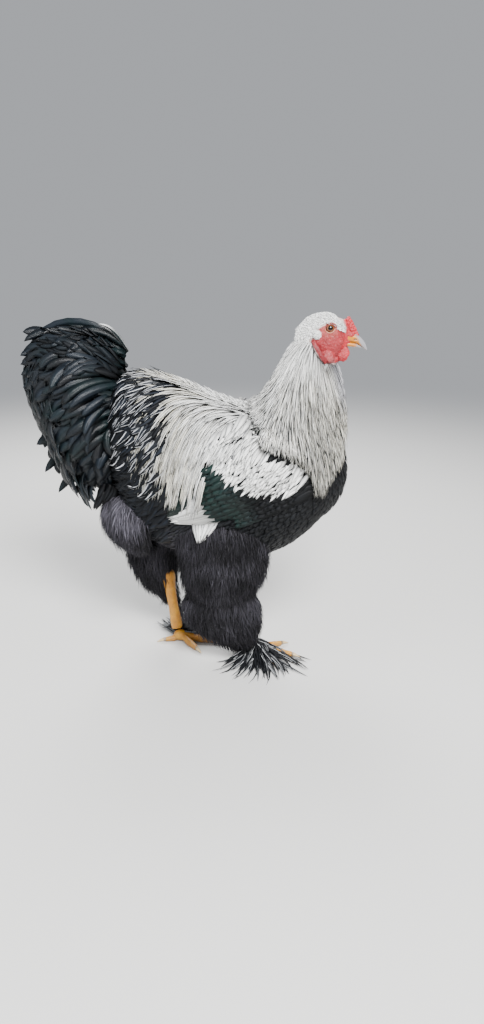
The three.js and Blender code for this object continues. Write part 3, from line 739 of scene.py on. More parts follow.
def lay(place, a, b, step_a, step_b, rise, root=-4.0, shares=LANCE, half=4.0, bow=0.0, curl=0.0):
    """Feathers from (a, b) by (step_a, step_b) over a place, rising to rise over the surface.

    Returns points, normals and halves for Coat.add.
    """
    s = along(len(shares) + 1)
    a, b, step_a, step_b, rise, half, bow, curl, root = (
        np.atleast_1d(np.asarray(v, float))[:, None]
        for v in (a, b, step_a, step_b, rise, half, bow, curl, root)
    )
    lift = root + (rise - root) * s ** 0.8 + curl * s ** 3
    side_step = step_b * s + bow * np.sin(np.pi * s)
    points, normals = on_surface(place, *np.broadcast_arrays(a + step_a * s, b + side_step, lift))
    halves = np.asarray(shares)[None, :] * half
    return points, normals, np.broadcast_to(halves, (len(points), len(shares)))


def steps_for(place, a, b, toward_a, toward_b, length):
    """Parameter steps that make a feather of the given length in a direction of the parameters."""
    tiny = 0.02
    run = place(a + toward_a * tiny, b + toward_b * tiny, 0.0) - place(a, b, 0.0)
    scale = length / np.maximum(np.linalg.norm(run, axis=-1) / tiny, 1e-6)
    return toward_a * scale, toward_b * scale


def jitter(n, amount):
    return (rng.random(n) - 0.5) * 2 * amount


def mixed(a, b, share):
    share = np.atleast_1d(share)[:, None]
    return np.asarray(a)[None] * (1 - share) + np.asarray(b)[None] * share


# Materials

def material(name, roughness, specular):
    """A material and the Graph of its nodes."""
    made = bpy.data.materials.new(name)
    made.use_nodes = True
    g = Graph(made.node_tree)
    g.constants(g.shader, {"Roughness": roughness, "Specular IOR Level": specular, "Metallic": 0.0})
    return made, g


class Graph:
    """Short calls for building a material's nodes."""

    def __init__(self, tree):
        self.tree = tree
        self.shader = tree.nodes["Principled BSDF"]

    def node(self, kind, **settings):
        made = self.tree.nodes.new(kind)
        for key, value in settings.items():
            setattr(made, key, value)
        return made

    def constants(self, node, values):
        for name, value in values.items():
            node.inputs[name].default_value = value

    def link(self, a, b):
        self.tree.links.new(a, b)

    def put(self, socket, value):
        if hasattr(value, "links"):
            self.link(value, socket)
        else:
            socket.default_value = value

    def math(self, operation, *values):
        made = self.node("ShaderNodeMath", operation=operation)
        for socket, value in zip(made.inputs, values):
            self.put(socket, value)
        return made.outputs[0]

    def times(self, a, b):
        return self.math("MULTIPLY", a, b)

    def swing(self, scale, detail, amount):
        """Noise about zero, amount wide in all."""
        return self.times(self.math("SUBTRACT", self.noise(scale, detail), 0.5), amount)

    def ramp(self, value, low, high, to_low=0.0, to_high=1.0, smooth=True):
        made = self.node("ShaderNodeMapRange", clamp=True)
        made.interpolation_type = "SMOOTHSTEP" if smooth else "LINEAR"
        for i, v in enumerate((value, low, high, to_low, to_high)):
            self.put(made.inputs[i], v)
        return made.outputs[0]

    def mix(self, share, a, b, blend="MIX"):
        made = self.node("ShaderNodeMix", data_type="RGBA", blend_type=blend)
        self.put(made.inputs[0], share)
        self.put(made.inputs[6], a if hasattr(a, "links") else (*a, 1.0))
        self.put(made.inputs[7], b if hasattr(b, "links") else (*b, 1.0))
        return made.outputs[2]

    def shaded(self, colour, value):
        """A colour times a value."""
        grey = self.node("ShaderNodeCombineColor")
        for i in range(3):
            self.link(value, grey.inputs[i])
        return self.mix(1.0, colour, grey.outputs[0], "MULTIPLY")

    def noise(self, scale, detail):
        made = self.node("ShaderNodeTexNoise")
        self.constants(made, {"Scale": scale, "Detail": detail, "Roughness": 0.55})
        self.link(self.place(), made.inputs["Vector"])
        return made.outputs["Fac"]

    def cells(self, scale, feature):
        """Distances in a pattern of cells."""
        made = self.node("ShaderNodeTexVoronoi", feature=feature)
        self.constants(made, {"Scale": scale})
        self.link(self.place(), made.inputs["Vector"])
        return made.outputs["Distance"]

    def place(self):
        return self.node("ShaderNodeTexCoord").outputs["Object"]

    def split(self, vector):
        made = self.node("ShaderNodeSeparateXYZ")
        self.link(vector, made.inputs[0])
        return made.outputs

    def attribute(self, name, output="Fac"):
        return self.node("ShaderNodeAttribute", attribute_name=name).outputs[output]

    def base(self, colour):
        self.link(colour, self.shader.inputs["Base Color"])

    def bump(self, height, strength, distance):
        made = self.node("ShaderNodeBump")
        self.constants(made, {"Strength": strength, "Distance": distance})
        self.link(height, made.inputs["Height"])
        self.link(made.outputs[0], self.shader.inputs["Normal"])


STRIPE_SOFT = 0.045  # half of the blur at a stripe's edge
SCALE_SEAM = (0.30, 0.15, 0.03)


def feather_material(name, roughness, specular, barbs, gloss=None, sheen=0.0):
    """Edge and centre colours with a stripe along the shaft, barbs, a change from feather to feather and
    painted shade towards the root.
    """
    made, g = material(name, roughness, specular)
    across, along = g.split(g.node("ShaderNodeUVMap", uv_map="FeatherShape").outputs[0])[:2]
    off = g.math("ABSOLUTE", g.math("SUBTRACT", across, 0.5))
    width = g.times(g.attribute("stripe"), g.ramp(along, 0.0, 1.0, 1.0, 0.72))
    inner = g.math("ADD", off, g.swing(700.0, 2.0, 0.10))
    lower = g.math("SUBTRACT", width, STRIPE_SOFT)
    upper = g.math("ADD", width, STRIPE_SOFT)
    share = g.ramp(inner, lower, upper)
    colour = g.mix(share, g.attribute("centre", "Color"), g.attribute("edge", "Color"))
    tone = g.ramp(g.attribute("tone"), 0.0, 1.0, 0.74, 1.14, smooth=False)
    # Painted shade: darker towards the root, where the feathers over it would shade it
    painted_shading = g.ramp(along, 0.0, 0.55, 0.38, 1.0)
    colour = g.shaded(colour, g.times(tone, painted_shading))
    if gloss is not None:
        colour = g.mix(g.ramp(g.noise(26.0, 2.0), 0.42, 0.7, 0.0, 0.75), colour, gloss)
    g.base(colour)
    barb = g.math("ADD", g.times(along, barbs), g.times(off, barbs * 0.55))
    shaft = g.ramp(off, 0.0, 0.05, 1.0, 0.0)
    g.bump(g.math("ADD", g.times(g.math("SINE", barb), 0.5), g.times(shaft, 0.9)), 0.35, 0.0004)
    if sheen:
        g.constants(g.shader, {"Sheen Weight": sheen, "Sheen Roughness": 0.5})
    return made


def skin_material():
    made, g = material("body_skin", 0.85, 0.2)
    g.base(g.shaded(g.attribute("under", "Color"), g.ramp(g.noise(90.0, 4.0), 0.3, 0.7, 0.75, 1.15)))
    g.bump(g.noise(700.0, 3.0), 0.5, 0.0008)
    return made


def face_material():
    """Red skin with paler, rough grains, and painted shade that darkens the pits between them."""
    made, g = material("red_face", 0.5, 0.4)
    g.constants(g.shader, {"Subsurface Weight": 0.05, "Subsurface Radius": (0.004, 0.0015, 0.001)})
    red = g.shaded(g.attribute("under", "Color"), g.ramp(g.noise(75.0, 3.0), 0.32, 0.68, 0.72, 1.15))
    red = g.mix(g.ramp(g.noise(430.0, 4.0), 0.48, 0.72, 0.0, 0.36), red, (0.58, 0.19, 0.19))
    cell = g.cells(480.0, "F1")
    # Painted shade: darker in the pits between the cells, where the bump sinks
    g.base(g.mix(g.ramp(cell, 0.25, 0.75, 0.0, 0.45), red, (0.22, 0.02, 0.02)))
    g.bump(g.math("SUBTRACT", g.noise(300.0, 4.0), g.times(cell, 0.8)), 0.7, 0.0013)
    return made


def scale_material():
    """Yellow scales, dirty in places and darker and browner near the floor."""
    made, g = material("yellow_scales", 0.42, 0.5)
    yellow = g.mix(g.ramp(g.noise(55.0, 4.0), 0.35, 0.7), (0.52, 0.20, 0.010), (0.68, 0.33, 0.025))
    yellow = g.mix(g.ramp(g.noise(190.0, 4.0), 0.55, 0.78, 0.0, 0.55), yellow, (0.23, 0.13, 0.05))
    height = g.split(g.place())[2]
    # Darker and browner within 18 mm of the floor
    yellow = g.mix(g.ramp(height, 0.0, 0.018, 0.55, 0.0), yellow, (0.16, 0.10, 0.055))
    seam = g.ramp(g.cells(330.0, "DISTANCE_TO_EDGE"), 0.0, 0.09)
    g.base(g.mix(seam, SCALE_SEAM, yellow))
    g.bump(seam, 0.5, 0.0007)
    return made


def horn_material(name, base, dark, dark_from):
    """Horn that darkens towards the ridge or the root, with fine growth lines and a slit of painted shade
    in the nostril's opening.
    """
    made, g = material(name, 0.3, 0.5)
    ridge = g.math("ADD", g.attribute("ridge"), g.swing(240.0, 4.0, 0.5))
    horn = g.mix(g.ramp(ridge, dark_from - 0.2, dark_from + 0.2), base, dark)
    # Painted shade: the nostril's opening darkened
    g.base(g.mix(g.ramp(g.attribute("nostril_shade"), 0.15, 0.7, 0.0, 0.95), horn, (0.035, 0.012, 0.008)))
    g.bump(g.noise(500.0, 3.0), 0.25, 0.0004)
    return made


def eye_material():
    """Pupil, bay iris with spokes, dark rim, by the distance from the eye's own axis."""
    made, g = material("eye", 0.2, 0.2)
    g.constants(g.shader, {"Coat Weight": 0.6, "Coat Roughness": 0.02})
    off = g.attribute("off_axis")
    r = g.math("ADD", off, g.swing(900.0, 3.0, 0.10))
    iris = g.mix(g.ramp(r, 0.55, 0.82), (0.27, 0.080, 0.018), (0.15, 0.040, 0.012))
    iris = g.mix(g.ramp(r, 0.80, 0.93), iris, (0.04, 0.015, 0.01))
    g.base(g.mix(g.ramp(off, 0.58, 0.64), (0.002, 0.002, 0.002), iris))
    return made


hackle_stuff = feather_material("hackle_feathers", 0.62, 0.3, 260.0)
white_stuff = feather_material("white_feathers", 0.75, 0.25, 170.0)
black_stuff = feather_material("black_feathers", 0.55, 0.16, 150.0)
gloss_stuff = feather_material("glossy_feathers", 0.40, 0.26, 210.0, gloss=(0.003, 0.010, 0.011))
down_stuff = feather_material("down_feathers", 0.95, 0.06, 60.0, sheen=0.05)
body_skin, red_face, yellow_scales = skin_material(), face_material(), scale_material()


# Skin: body, face, comb, wattles, lobes and bare legs, in one piece

def body_shell():
    """The plucked body under the plumage: pale under the white feathers, dark under the black."""
    depth = -SKIN_DEPTH
    parts = [
        torso.mesh(40, 48, depth),
        cape.mesh(30, 40, depth),
        tail.mesh(24, 32, -TAIL_DEPTH),
        thigh_right.mesh(20, 28, depth),
        thigh_left.mesh(20, 28, depth + 2),
        stocking.mesh(20, 28, depth),
        ellipsoid(
            (FLUFF["x"], 0, FLUFF["z"]),
            (FLUFF["rx"] + depth, FLUFF["ry"] + depth, FLUFF["rz"] + depth),
        ),
    ]
    for side in (LEFT, RIGHT):
        centre = (WING["x"], side * (WING["flank"] - WING["out"]), WING["z"])
        radii = np.array((WING["half"], WING["out"] * 2, WING["high"])) - WING_DEPTH
        parts.append(ellipsoid(centre, radii, turn=-WING["tilt"]))
    obj = remesh(make_object("shell", *merged(parts)), voxel=6.0, smooth=2)
    p = coordinates(obj)
    high = np.interp(p[:, 0], [-150, -60, 40, 120, 180], [440, 400, 430, 440, 420])
    pale = fade(p[:, 2], high, 30) * fade(p[:, 0], -145, 25)
    paint(obj.data, "under", mixed(BLACK, (0.34, 0.34, 0.33), pale))
    return obj


COMB_PATH = [[218, 0, 603], [213, 0, 611], [207, 0, 621], [199, 0, 630]]
WATTLE_PATH = [[203, 9, 586], [202, 12, 578], [199, 13, 570], [197, 12.5, 563]]
LOBE_PATH = [[149, 27, 598], [154, 29.5, 587], [162, 30, 574], [171, 27, 561]]


def comb_parts():
    """Three rows of peas on a low base."""
    parts = [Loft(path_rings(COMB_PATH, [4, 6.5, 6.5, 4], [3.4, 4.0, 4.0, 3.0])).mesh(12, 20)]
    for row in (-1, 0, 1):
        middle = row == 0
        count = 7 if middle else 6
        for i in range(count):
            t = i / (count - 1)
            x = 219.5 - 15 * t + 3 * middle
            z = 603.5 + 27 * t + 2 * middle
            size = 2.7 + 0.9 * middle - 0.9 * abs(t - 0.45)
            y = row * (4.8 + 1.8 * math.sin(math.pi * t))
            centre = np.array((x, y, z)) + jitter(3, 0.5)
            parts.append(ellipsoid(centre, (size * 1.15, size * 0.9, size * 1.05), (12, 8)))
    return parts


def mirrored(path, side):
    return np.array(path, float) * (1, side, 1)


def lobe_parts(side):
    forward = (1, 0, 0)
    wattle = Loft(path_rings(mirrored(WATTLE_PATH, side), [2.2, 3.0, 3.2, 1.6], [6, 9, 9, 4.5], forward))
    lobe = Loft(path_rings(mirrored(LOBE_PATH, side), [2, 3.2, 3.2, 1.6], [3.4, 4.8, 4.6, 2.6], forward))

    def folded(t, angle):
        return 1 + 0.09 * np.sin(t * 4.2 + 1) * np.sin(angle * 3)
    return [wattle.mesh(24, 24, 0, folded), lobe.mesh(24, 20, 0, folded)]


def face_colours(p):
    """Skin colour over the head: red where it is bare, pale under the feathers."""
    inside = inside_outline(p[:, 0], p[:, 2], FACE)
    colours = np.tile(CHEEK, (len(p), 1))

    def blend(colour, share):
        colours[:] = colours * (1 - share[:, None]) + colour * share[:, None]
    blend(EYE_SKIN, fade(np.hypot(p[:, 0] - EYE[0], p[:, 2] - EYE[2]), 20, -8))
    blend(COMB_RED, fade(p[:, 0], 196, 8) * 0.6)
    blend(CHIN, fade(np.hypot(p[:, 0] - 176, p[:, 2] - 563), 14, -8) * 0.7)
    blend(COMB_RED, fade(path_distance(p, COMB_PATH), 12.0, -2.5))
    for side in (LEFT, RIGHT):
        blend(WATTLE_RED, fade(path_distance(p, mirrored(WATTLE_PATH, side)), 11.5, -3))
        blend(LOBE_RED, fade(path_distance(p, mirrored(LOBE_PATH, side)), 7.0, -2))
    blend(PALE_SKIN, fade(inside, 1.0, -2.2))
    return colours


THROAT_PATH = [[196, 0, 582], [192, 0, 572], [180, 0, 562], [166, 0, 556]]
FACE_FORMS = [  # centre, radii, detail and tilt of what each side of the face has
    ((188, 16, 598), (12, 7, 9), (20, 12), 0.5),
    ((200.5, 9.2, 589.5), (5, 2.6, 2.0), (16, 10), -0.1),
    ((155, 23.5, 607), (7, 4, 7), (16, 10), 0.0),
    ((173, 18, 572), (14, 9.5, 12), (20, 12), 0.3),
]
SOCKET_FLOOR = EYE[1] + 1.0
SOCKET_RIM = SOCKET_FLOOR + 4.2
SOCKET_INNER = 7.4
SOCKET_OUTER = 12.5
SOCKET_SLOPE = 4.0


def head_shell():
    """The face with its comb, wattles, lobes and eye sockets."""
    parts = [head.mesh(36, 40), Loft(path_rings(THROAT_PATH, [8, 13, 17, 18], [6, 9, 10, 9])).mesh(14, 24)]
    parts += comb_parts()
    parts.append(ellipsoid((210.5, 0, 606), (10.5, 9.8, 6.2), (24, 14), 0.42))
    for side in (LEFT, RIGHT):
        parts += lobe_parts(side)
        parts += [ellipsoid(mirrored(centre, side), *form) for centre, *form in FACE_FORMS]
    obj = remesh(make_object("face", *merged(parts)), voxel=0.95, smooth=1)
    p = coordinates(obj)
    for side in (LEFT, RIGHT):
        r = np.hypot((p[:, 0] - EYE[0]) / 1.08, p[:, 2] - EYE[2])
        near = (p[:, 1] * side > 8) & (r < SOCKET_OUTER + 0.5)
        out = np.abs(p[:, 1])
        share = fade(r, SOCKET_OUTER, -SOCKET_SLOPE)
        target = np.minimum(out, SOCKET_RIM)
        deep = np.where(r < SOCKET_INNER, np.minimum(target, SOCKET_FLOOR), target)
        p[near, 1] = side * (out * (1 - share) + deep * share)[near]
    swell = value_noise(p, 3.2, 3) * 0.28 + value_noise(p, 1.6, 5) * 0.16
    normals = np.empty(len(p) * 3)
    obj.data.vertices.foreach_get("normal", normals)
    p += normals.reshape(-1, 3) * swell[:, None]
    set_coordinates(obj, p)
    paint(obj.data, "under", face_colours(p))
    return obj


def eyelids(side):
    """Two lids that meet in a corner before and behind the eye, with a fold round them."""
    rings = []
    for out, radii, tube, around in ((3.0, (8.0, 6.9), 1.05, 12), (2.9, (10.4, 9.2), 0.9, 10)):
        points, faces = ring_tube((EYE[0], side * (EYE[1] + out), EYE[2]), radii, tube, 44, around)
        off = (points[:, 0] - EYE[0]) / 9.0
        points[:, 1] -= side * 1.4 * off ** 2
        points[:, 2] += 0.9 * off
        rings.append((points, faces))
    return rings


def toe_points(leg, toe):
    """A toe's path from the foot's ball to its tip, and the way it points."""
    angle_out, length, radius = TOES[toe]
    angle = math.radians((angle_out + leg["turn"]) * leg["side"])
    way = np.array([math.cos(angle), math.sin(angle), 0.0])
    start = np.array([leg["ball"][0], leg["side"] * leg["ball"][1], 0.0])
    heights = [12, 9.5, radius - 0.6, radius - 1, radius - 1.6]
    return np.array([start + way * length * i / 4 + (0, 0, z) for i, z in enumerate(heights)]), way


def leg_shell():
    """Shanks, toes and the balls of the feet, with their scales."""
    parts = []

    def scutes(t, angle):
        front = np.clip(np.sin(angle), 0, 1)
        return 1 + 0.045 * np.abs(np.sin(t * 11.0)) * front + 0.012 * np.sin(t * 40) * np.cos(angle * 6)
    for leg in LEGS.values():
        hock, ankle = mirrored(leg["hock"], leg["side"]), mirrored(leg["ankle"], leg["side"])
        swell = np.array([0.9, 1.25, 1, 0.86, 1, 0.95])
        points = [hock + (ankle - hock) * t for t in (0, 0.12, 0.3, 0.6, 0.88, 1)]
        shank = Loft(path_rings(points, swell * SHANK_RADII[0], swell * SHANK_RADII[1], (1, 0, 0)))
        parts.append(shank.mesh(150, 36, 0, scutes))
        for toe, (_, length, radius) in TOES.items():
            path, _ = toe_points(leg, toe)
            radii = radius * np.array([1.15, 0.95, 1.02, 0.86, 0.7])
            joints = length / SCUTE

            def pads(t, angle, joints=joints):
                top = np.clip(np.sin(angle), 0, 1)
                ring = np.abs(np.sin(t / 4 * joints * math.pi))
                pad = np.sin(t * math.pi * 1.5) ** 2 * np.clip(-np.sin(angle), 0, 1)
                return 0.94 + 0.07 * ring * top + 0.08 * pad
            parts.append(Loft(path_rings(path, radii, radii)).mesh(70, 20, 0, pads))
        x, y = leg["ball"]
        parts.append(ellipsoid((x - 2, leg["side"] * y, 11), (15, 12, 11.2), (28, 16)))
    obj = remesh(make_object("legs", *merged(parts)), voxel=1.3, smooth=1)
    p = coordinates(obj)
    p[:, 2] = np.maximum(p[:, 2], FLOOR_GAP)
    set_coordinates(obj, p)
    return obj


def make_skin():
    """Body, face, lids and legs, joined into one piece."""
    body = body_shell()
    face = head_shell()
    lids = make_object("lids", *merged(eyelids(LEFT) + eyelids(RIGHT)))
    p = coordinates(lids)
    ring = np.hypot(p[:, 0] - EYE[0], (p[:, 2] - EYE[2]) * 1.12)
    # Pale below; dark above, for the lash line and the upper lid's painted shadow
    lid_and_shadow = mixed(LOWER_LID, UPPER_LID_LASH_AND_SHADOW, fade(p[:, 2], EYE[2] - 1, 3))
    outer = fade(ring, 9.0, 0.8)[:, None]
    paint(lids.data, "under", lid_and_shadow * (1 - outer) + EYE_SKIN * outer)
    legs = leg_shell()
    paint(legs.data, "under", np.full((len(legs.data.vertices), 3), 0.1))
    for obj, stuff in ((body, body_skin), (face, red_face), (lids, red_face), (legs, yellow_scales)):
        obj.data.materials.clear()
        obj.data.materials.append(stuff)
    with bpy.context.temp_override(active_object=body, selected_editable_objects=[body, face, lids, legs]):
        bpy.ops.object.join()
    body.name = "skin"
    body.data.polygons.foreach_set("use_smooth", [True] * len(body.data.polygons))
    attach(body, "root")
    nodes = ["torso", "neck", "head", "tail", "comb"]
    for name in ("right", "left"):
        nodes += [f"{n}_{name}" for n in ("wing", "thigh", "shank", "foot", "wattle", "earlobe")]
    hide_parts(*nodes)
    return body


def make_eyes():
    stuff = eye_material()
    for name, side in (("right", RIGHT), ("left", LEFT)):
        centre = np.array([EYE[0], side * EYE[1], EYE[2]])
        points, faces = ellipsoid((0, 0, 0), (EYE_RADIUS,) * 3, (40, 24))
        points = np.stack([points[:, 0], points[:, 2] * side, points[:, 1]], -1)
        obj = make_object(f"eyeball_{name}", points + centre, faces, stuff)
        off = np.hypot(points[:, 0] - 0.4, points[:, 2] - 1.3) / EYE_RADIUS
        level(obj.data, "off_axis", np.where(points[:, 1] * side > 0, off, 1.0))
        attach(obj, "root")
        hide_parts(f"eye_{name}")


UPPER_BILL = [[204, 0, 602], [214, 0, 601], [225, 0, 597], [234, 0, 589], [240, 0, 581]]
LOWER_BILL = [[202, 0, 590.5], [212, 0, 590], [222, 0, 588], [231, 0, 585]]
NOSTRIL = (219.5, 7.3, 598.8)
NOSTRIL_RADII = (3.4, 4, 1.5)
NOSTRIL_DEPTH = 1.7


def make_beak():
    stuff = horn_material("bill_horn", (0.47, 0.165, 0.006), (0.25, 0.245, 0.26), 0.60)
    upper = Loft(path_rings(UPPER_BILL, [9.4, 8.6, 6.8, 4.2, 1.2], [9, 8, 6.4, 4.3, 1.2]), 0.9)
    lower = Loft(path_rings(LOWER_BILL, [8, 7, 5, 1.2], [4.6, 4, 3, 1]), 0.9)
    for name, shape in (("beak_upper", upper), ("beak_lower", lower)):
        points, faces = shape.mesh(60, 48)
        nostril_shade = np.zeros(len(points))
        ridge = fade(points[:, 0], 206, 24).clip(0.25)
        if name == "beak_upper":
            middle = np.interp(points[:, 0], *np.array(UPPER_BILL)[:, (0, 2)].T)
            ridge = 0.24 + (points[:, 2] - middle) / 24 + fade(points[:, 0], 217, 24).clip(0, 0.6)
            for side in (LEFT, RIGHT):
                d = np.linalg.norm((points - mirrored(NOSTRIL, side)) / NOSTRIL_RADII, axis=1)
                near = np.clip(1.25 - d, 0, 1) * (points[:, 1] * side > 0)
                points[:, 1] -= side * NOSTRIL_DEPTH * near
                # Painted shade over the nostril's dent
                nostril_shade = np.maximum(nostril_shade, near)
        obj = make_object(f"{name}_horn", points, faces, stuff)
        level(obj.data, "ridge", ridge)
        level(obj.data, "nostril_shade", nostril_shade)
        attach(obj, "root")
        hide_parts(name)


def make_claws():
    stuff = horn_material("claw_horn", (0.55, 0.42, 0.24), (0.16, 0.12, 0.08), 0.55)
    for name, leg in LEGS.items():
        for toe in TOES:
            path, way = toe_points(leg, toe)
            tip = path[-1]
            rings = []
            for d, h in zip((-4, 3, 9, CLAW_LENGTH), (0.2, 0.8, -0.6, -3.2)):
                p = tip + way * d
                p[2] = max(p[2] + h, CLAW_HEIGHT)
                rings.append(p)
            radii = np.array([1, 0.9, 0.6, 0.12]) * CLAW_RADIUS * 0.95
            points, faces = Loft(path_rings(rings, radii, radii)).mesh(20, 18)
            points[:, 2] = np.maximum(points[:, 2], FLOOR_GAP)
            obj = make_object(f"nail_{name}_{toe}", points, faces, stuff)
            level(obj.data, "ridge", np.clip(1 - ((points - tip) @ way + 2) / 12, 0, 1))
            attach(obj, "root")
            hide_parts(f"claw_{name}_{toe}")


make_skin()
make_eyes()
make_beak()
make_claws()


# Plumage

def surface_rows(place, a_values, b_low, b_high, gap, skip=None):
    """Root places in rows over a parameter surface, about gap apart along b."""
    roots_a, roots_b = [], []
    samples = 60
    for row, a in enumerate(a_values):
        b = np.linspace(b_low, b_high, samples)
        p = place(a, b, 0.0)
        length = np.linalg.norm(np.diff(p, axis=0), axis=1).cumsum()
        count = max(1, int(length[-1] / gap))
        wanted = (np.arange(count) + (row % 2) * 0.5 + 0.25 + jitter(count, 0.3)) / count * length[-1]
        roots_b.append(np.interp(wanted, np.append(0, length), b))
        roots_a.append(np.full(count, a))
    a, b = np.concatenate(roots_a), np.concatenate(roots_b)
    if skip is not None:
        keep = ~skip(a, b, place(a, b, 0.0))
        a, b = a[keep], b[keep]
    return a, b


def under_wing(p):
    """Well inside the wing in the side view, where no body feather shows."""
    x, y, z = p[..., 0], np.abs(p[..., 1]), p[..., 2]
    inside = [wing_reach(x + dx, z + dz) > 0 for dx, dz in ((0, 10), (10, 0), (-25, 0))]
    return (y > 60) & np.all(inside, axis=0)


def body_coat():
    """Black feathers on the body and breast and under the tail."""
    coat = Coat("coat_body", black_stuff, "plumage_black")

    def skip(x, angle, p):
        covered = p[..., 2] > np.interp(x, [-175, -140, -60, 60, 150], [600, 400, 392, 420, 452])
        return covered | under_wing(p)
    a, b = surface_rows(torso_place, np.arange(188, -200, -7.5), 0, FULL_TURN, 8.5, skip)
    n = len(a)
    step_a, step_b = steps_for(torso_place, a, b, -1, 0, 30 + jitter(n, 5))
    step_b = step_b - 0.12 * np.cos(b)
    shape = lay(torso_place, a, b, step_a, step_b, 4 + jitter(n, 1), -7, ROUND, 7.0 + jitter(n, 0.8))
    dark = mixed(BLACK, SLATE, fade(shape[0][:, 0, 2], 300, -90) * fade(a, 90, -80))
    coat.add(*shape, 0.5, dark * 1.5, dark, 0.12, jitter(n, 0.12))
    # The breast's feathers run down over its front
    breast = tilt_first(ball_place(**BREAST))
    a, b = surface_rows(breast, np.radians(np.arange(-78, 66, 4.6)), *np.radians((-88, 88)), 8.0)
    n = len(a)
    step_a, step_b = steps_for(breast, a, b, -1, 0, 27 + jitter(n, 4))
    shape = lay(breast, a, b, step_a, step_b, 4.5 + jitter(n, 1), -6, ROUND, 6.6 + jitter(n, 0.8))
    coat.add(*shape, 0.5, BLACK * 1.6, BLACK, 0.12, jitter(n, 0.12))
    # Between the tail's lower edge and the fluff
    n = 110
    root = np.stack([rng.uniform(-222, -172, n), rng.uniform(-50, 50, n), rng.uniform(322, 348, n)], -1)
    fall = np.array([-0.45, 0.0, -0.85]) * (36 + jitter(n, 8))[:, None]
    points = root[:, None] + fall[:, None] * along(len(ROUND) + 1)[..., None]
    normals = np.broadcast_to(unit(root * (0, 0.02, 0) + (-0.6, 0, 0.2))[:, None], points.shape)
    halves = widths(ROUND, 6.5 + jitter(n, 1))
    coat.add(points, normals, halves, 0.5, BLACK * 1.6, BLACK, 0.12, jitter(n, 0.4))
    return coat.build()


def down_coat(name, place, a_values, b_low, b_high, toward_a, toward_b, length):
    """Soft, thin, curving wisps."""
    coat = Coat(name, down_stuff, "down")
    a, b = surface_rows(place, a_values, b_low, b_high, 3.4)
    n = len(a)
    turn = jitter(n, 0.5)
    step_a, step_b = steps_for(place, a, b, toward_a, toward_b, length + jitter(n, 8))
    side_a, side_b = steps_for(place, a, b, toward_b, toward_a, length * turn)
    shape = lay(
        place, a, b, step_a + side_a, step_b + side_b, 5 + jitter(n, 3.5), -5, WISP,
        1.5 + jitter(n, 0.5), 0.0, jitter(n, 3.5),
    )
    shape[0][..., 2] -= 13 * along(len(WISP) + 1) ** 2 * (1 + jitter(n, 0.5)[:, None])
    root = shape[0][:, 0]
    # Painted light and shade of soft lumps, with a random change from wisp to wisp
    lump_light_and_shade = 0.7 * value_noise(root, 34.0, 2) + 0.5 * value_noise(root, 14.0, 6)
    painted_shading = np.clip(0.42 + 0.75 * lump_light_and_shade + jitter(n, 0.2), 0, 1)
    bright = 2.9 if name == "down_rump" else 1.15
    colour = mixed(SLATE * 0.22, SLATE * bright, painted_shading ** 1.7)
    coat.add(*shape, 0.3, colour * 1.2, colour, 0.0, jitter(n, 0.5))
    return coat.build()


def front_share(angle):
    """0 at the front of the neck, 1 at its back."""
    return np.abs((np.degrees(angle) - 270 + 180) % 360 - 180) / 180


# Layers of the hackle: rows, gap, extra half width, extra lift and the stripe's strength
HACKLE_LAYERS = (
    (np.arange(0.0, 5.6, 0.17), 3.4, 0.0, 0.0, 1.0),
    (np.arange(1.8, 5.4, 0.4), 7.5, 0.8, 2.2, 1.25),
)


def hackle_coat():
    """Striped white feathers down the neck that end at a ragged rim."""
    coat = Coat("coat_hackle", hackle_stuff, "plumage_silver")

    def bare(t, angle, p):
        limit = np.interp(front_share(angle), [0, 0.12, 0.25, 0.36], [2.4, 3.0, 4.4, 9.0])
        face = inside_outline(p[..., 0], p[..., 2], FACE) > 1.0
        return (t > limit) | (face & (np.abs(p[..., 1]) > 9))
    for rows, gap, wider, higher, darker in HACKLE_LAYERS:
        a, b = surface_rows(neck_place, rows, 0, FULL_TURN, gap, bare)
        n = len(a)
        front = front_share(b)
        length = (34 + 11.5 * a) * (1 + jitter(n, 0.14)) * np.interp(front, [0, 0.2, 0.4], [0.75, 0.9, 1])
        step_a, _ = steps_for(neck_place, a, b, 1, 0, length)
        step_a = np.minimum(step_a, 8.2 - a)
        swing = -0.45 * np.cos(b) * (a / 5) + jitter(n, 0.035)
        # A feather ends at the rim, a little past it or before it
        ragged = jitter(n, 9)
        keep = np.ones(n)
        for s in np.linspace(1.0, 0.1, 19):
            q = neck_place(a + step_a * s, b + swing * s, 4.0)
            keep = np.where(q[:, 2] < rim(q[:, 0]) + ragged, s - 0.05, keep)
        chosen = keep > 0.3
        a, b, front, step_a, swing = (v[chosen] for v in (a, b, front, step_a * keep, swing * keep))
        n = len(a)
        rise = 3.4 + higher + 0.5 * a + jitter(n, 1) * (1 + 0.35 * a)
        half = 1.2 + wider + 0.25 * a + jitter(n, 0.25)
        shape = lay(neck_place, a, b, step_a, swing, rise, -6.5, LANCE, half)
        warm = np.clip(np.interp(front, [0, 0.45, 0.8], [0.8, 0.5, 0.05]) + jitter(n, 0.2), 0, 1)
        edge = mixed(WHITE, CREAM, warm * fade(a, 0.5, 1.4))
        # Painted shade: the edges turn grey at the front of the neck under the head
        throat_shade = (fade(front, 0.3, -0.12) * fade(a, 2.4, -0.8))[:, None]
        edge = edge * (1 - throat_shade) + GREY * 1.2 * throat_shade
        stripe = np.interp(a, [0, 1.0, 2.5, 5], [0.05, 0.14, 0.22, 0.27]) * (darker + jitter(n, 0.35))
        coat.add(*shape, 0.42, edge, BLACK * 1.4, stripe, jitter(n, 0.35))
    return coat.build()


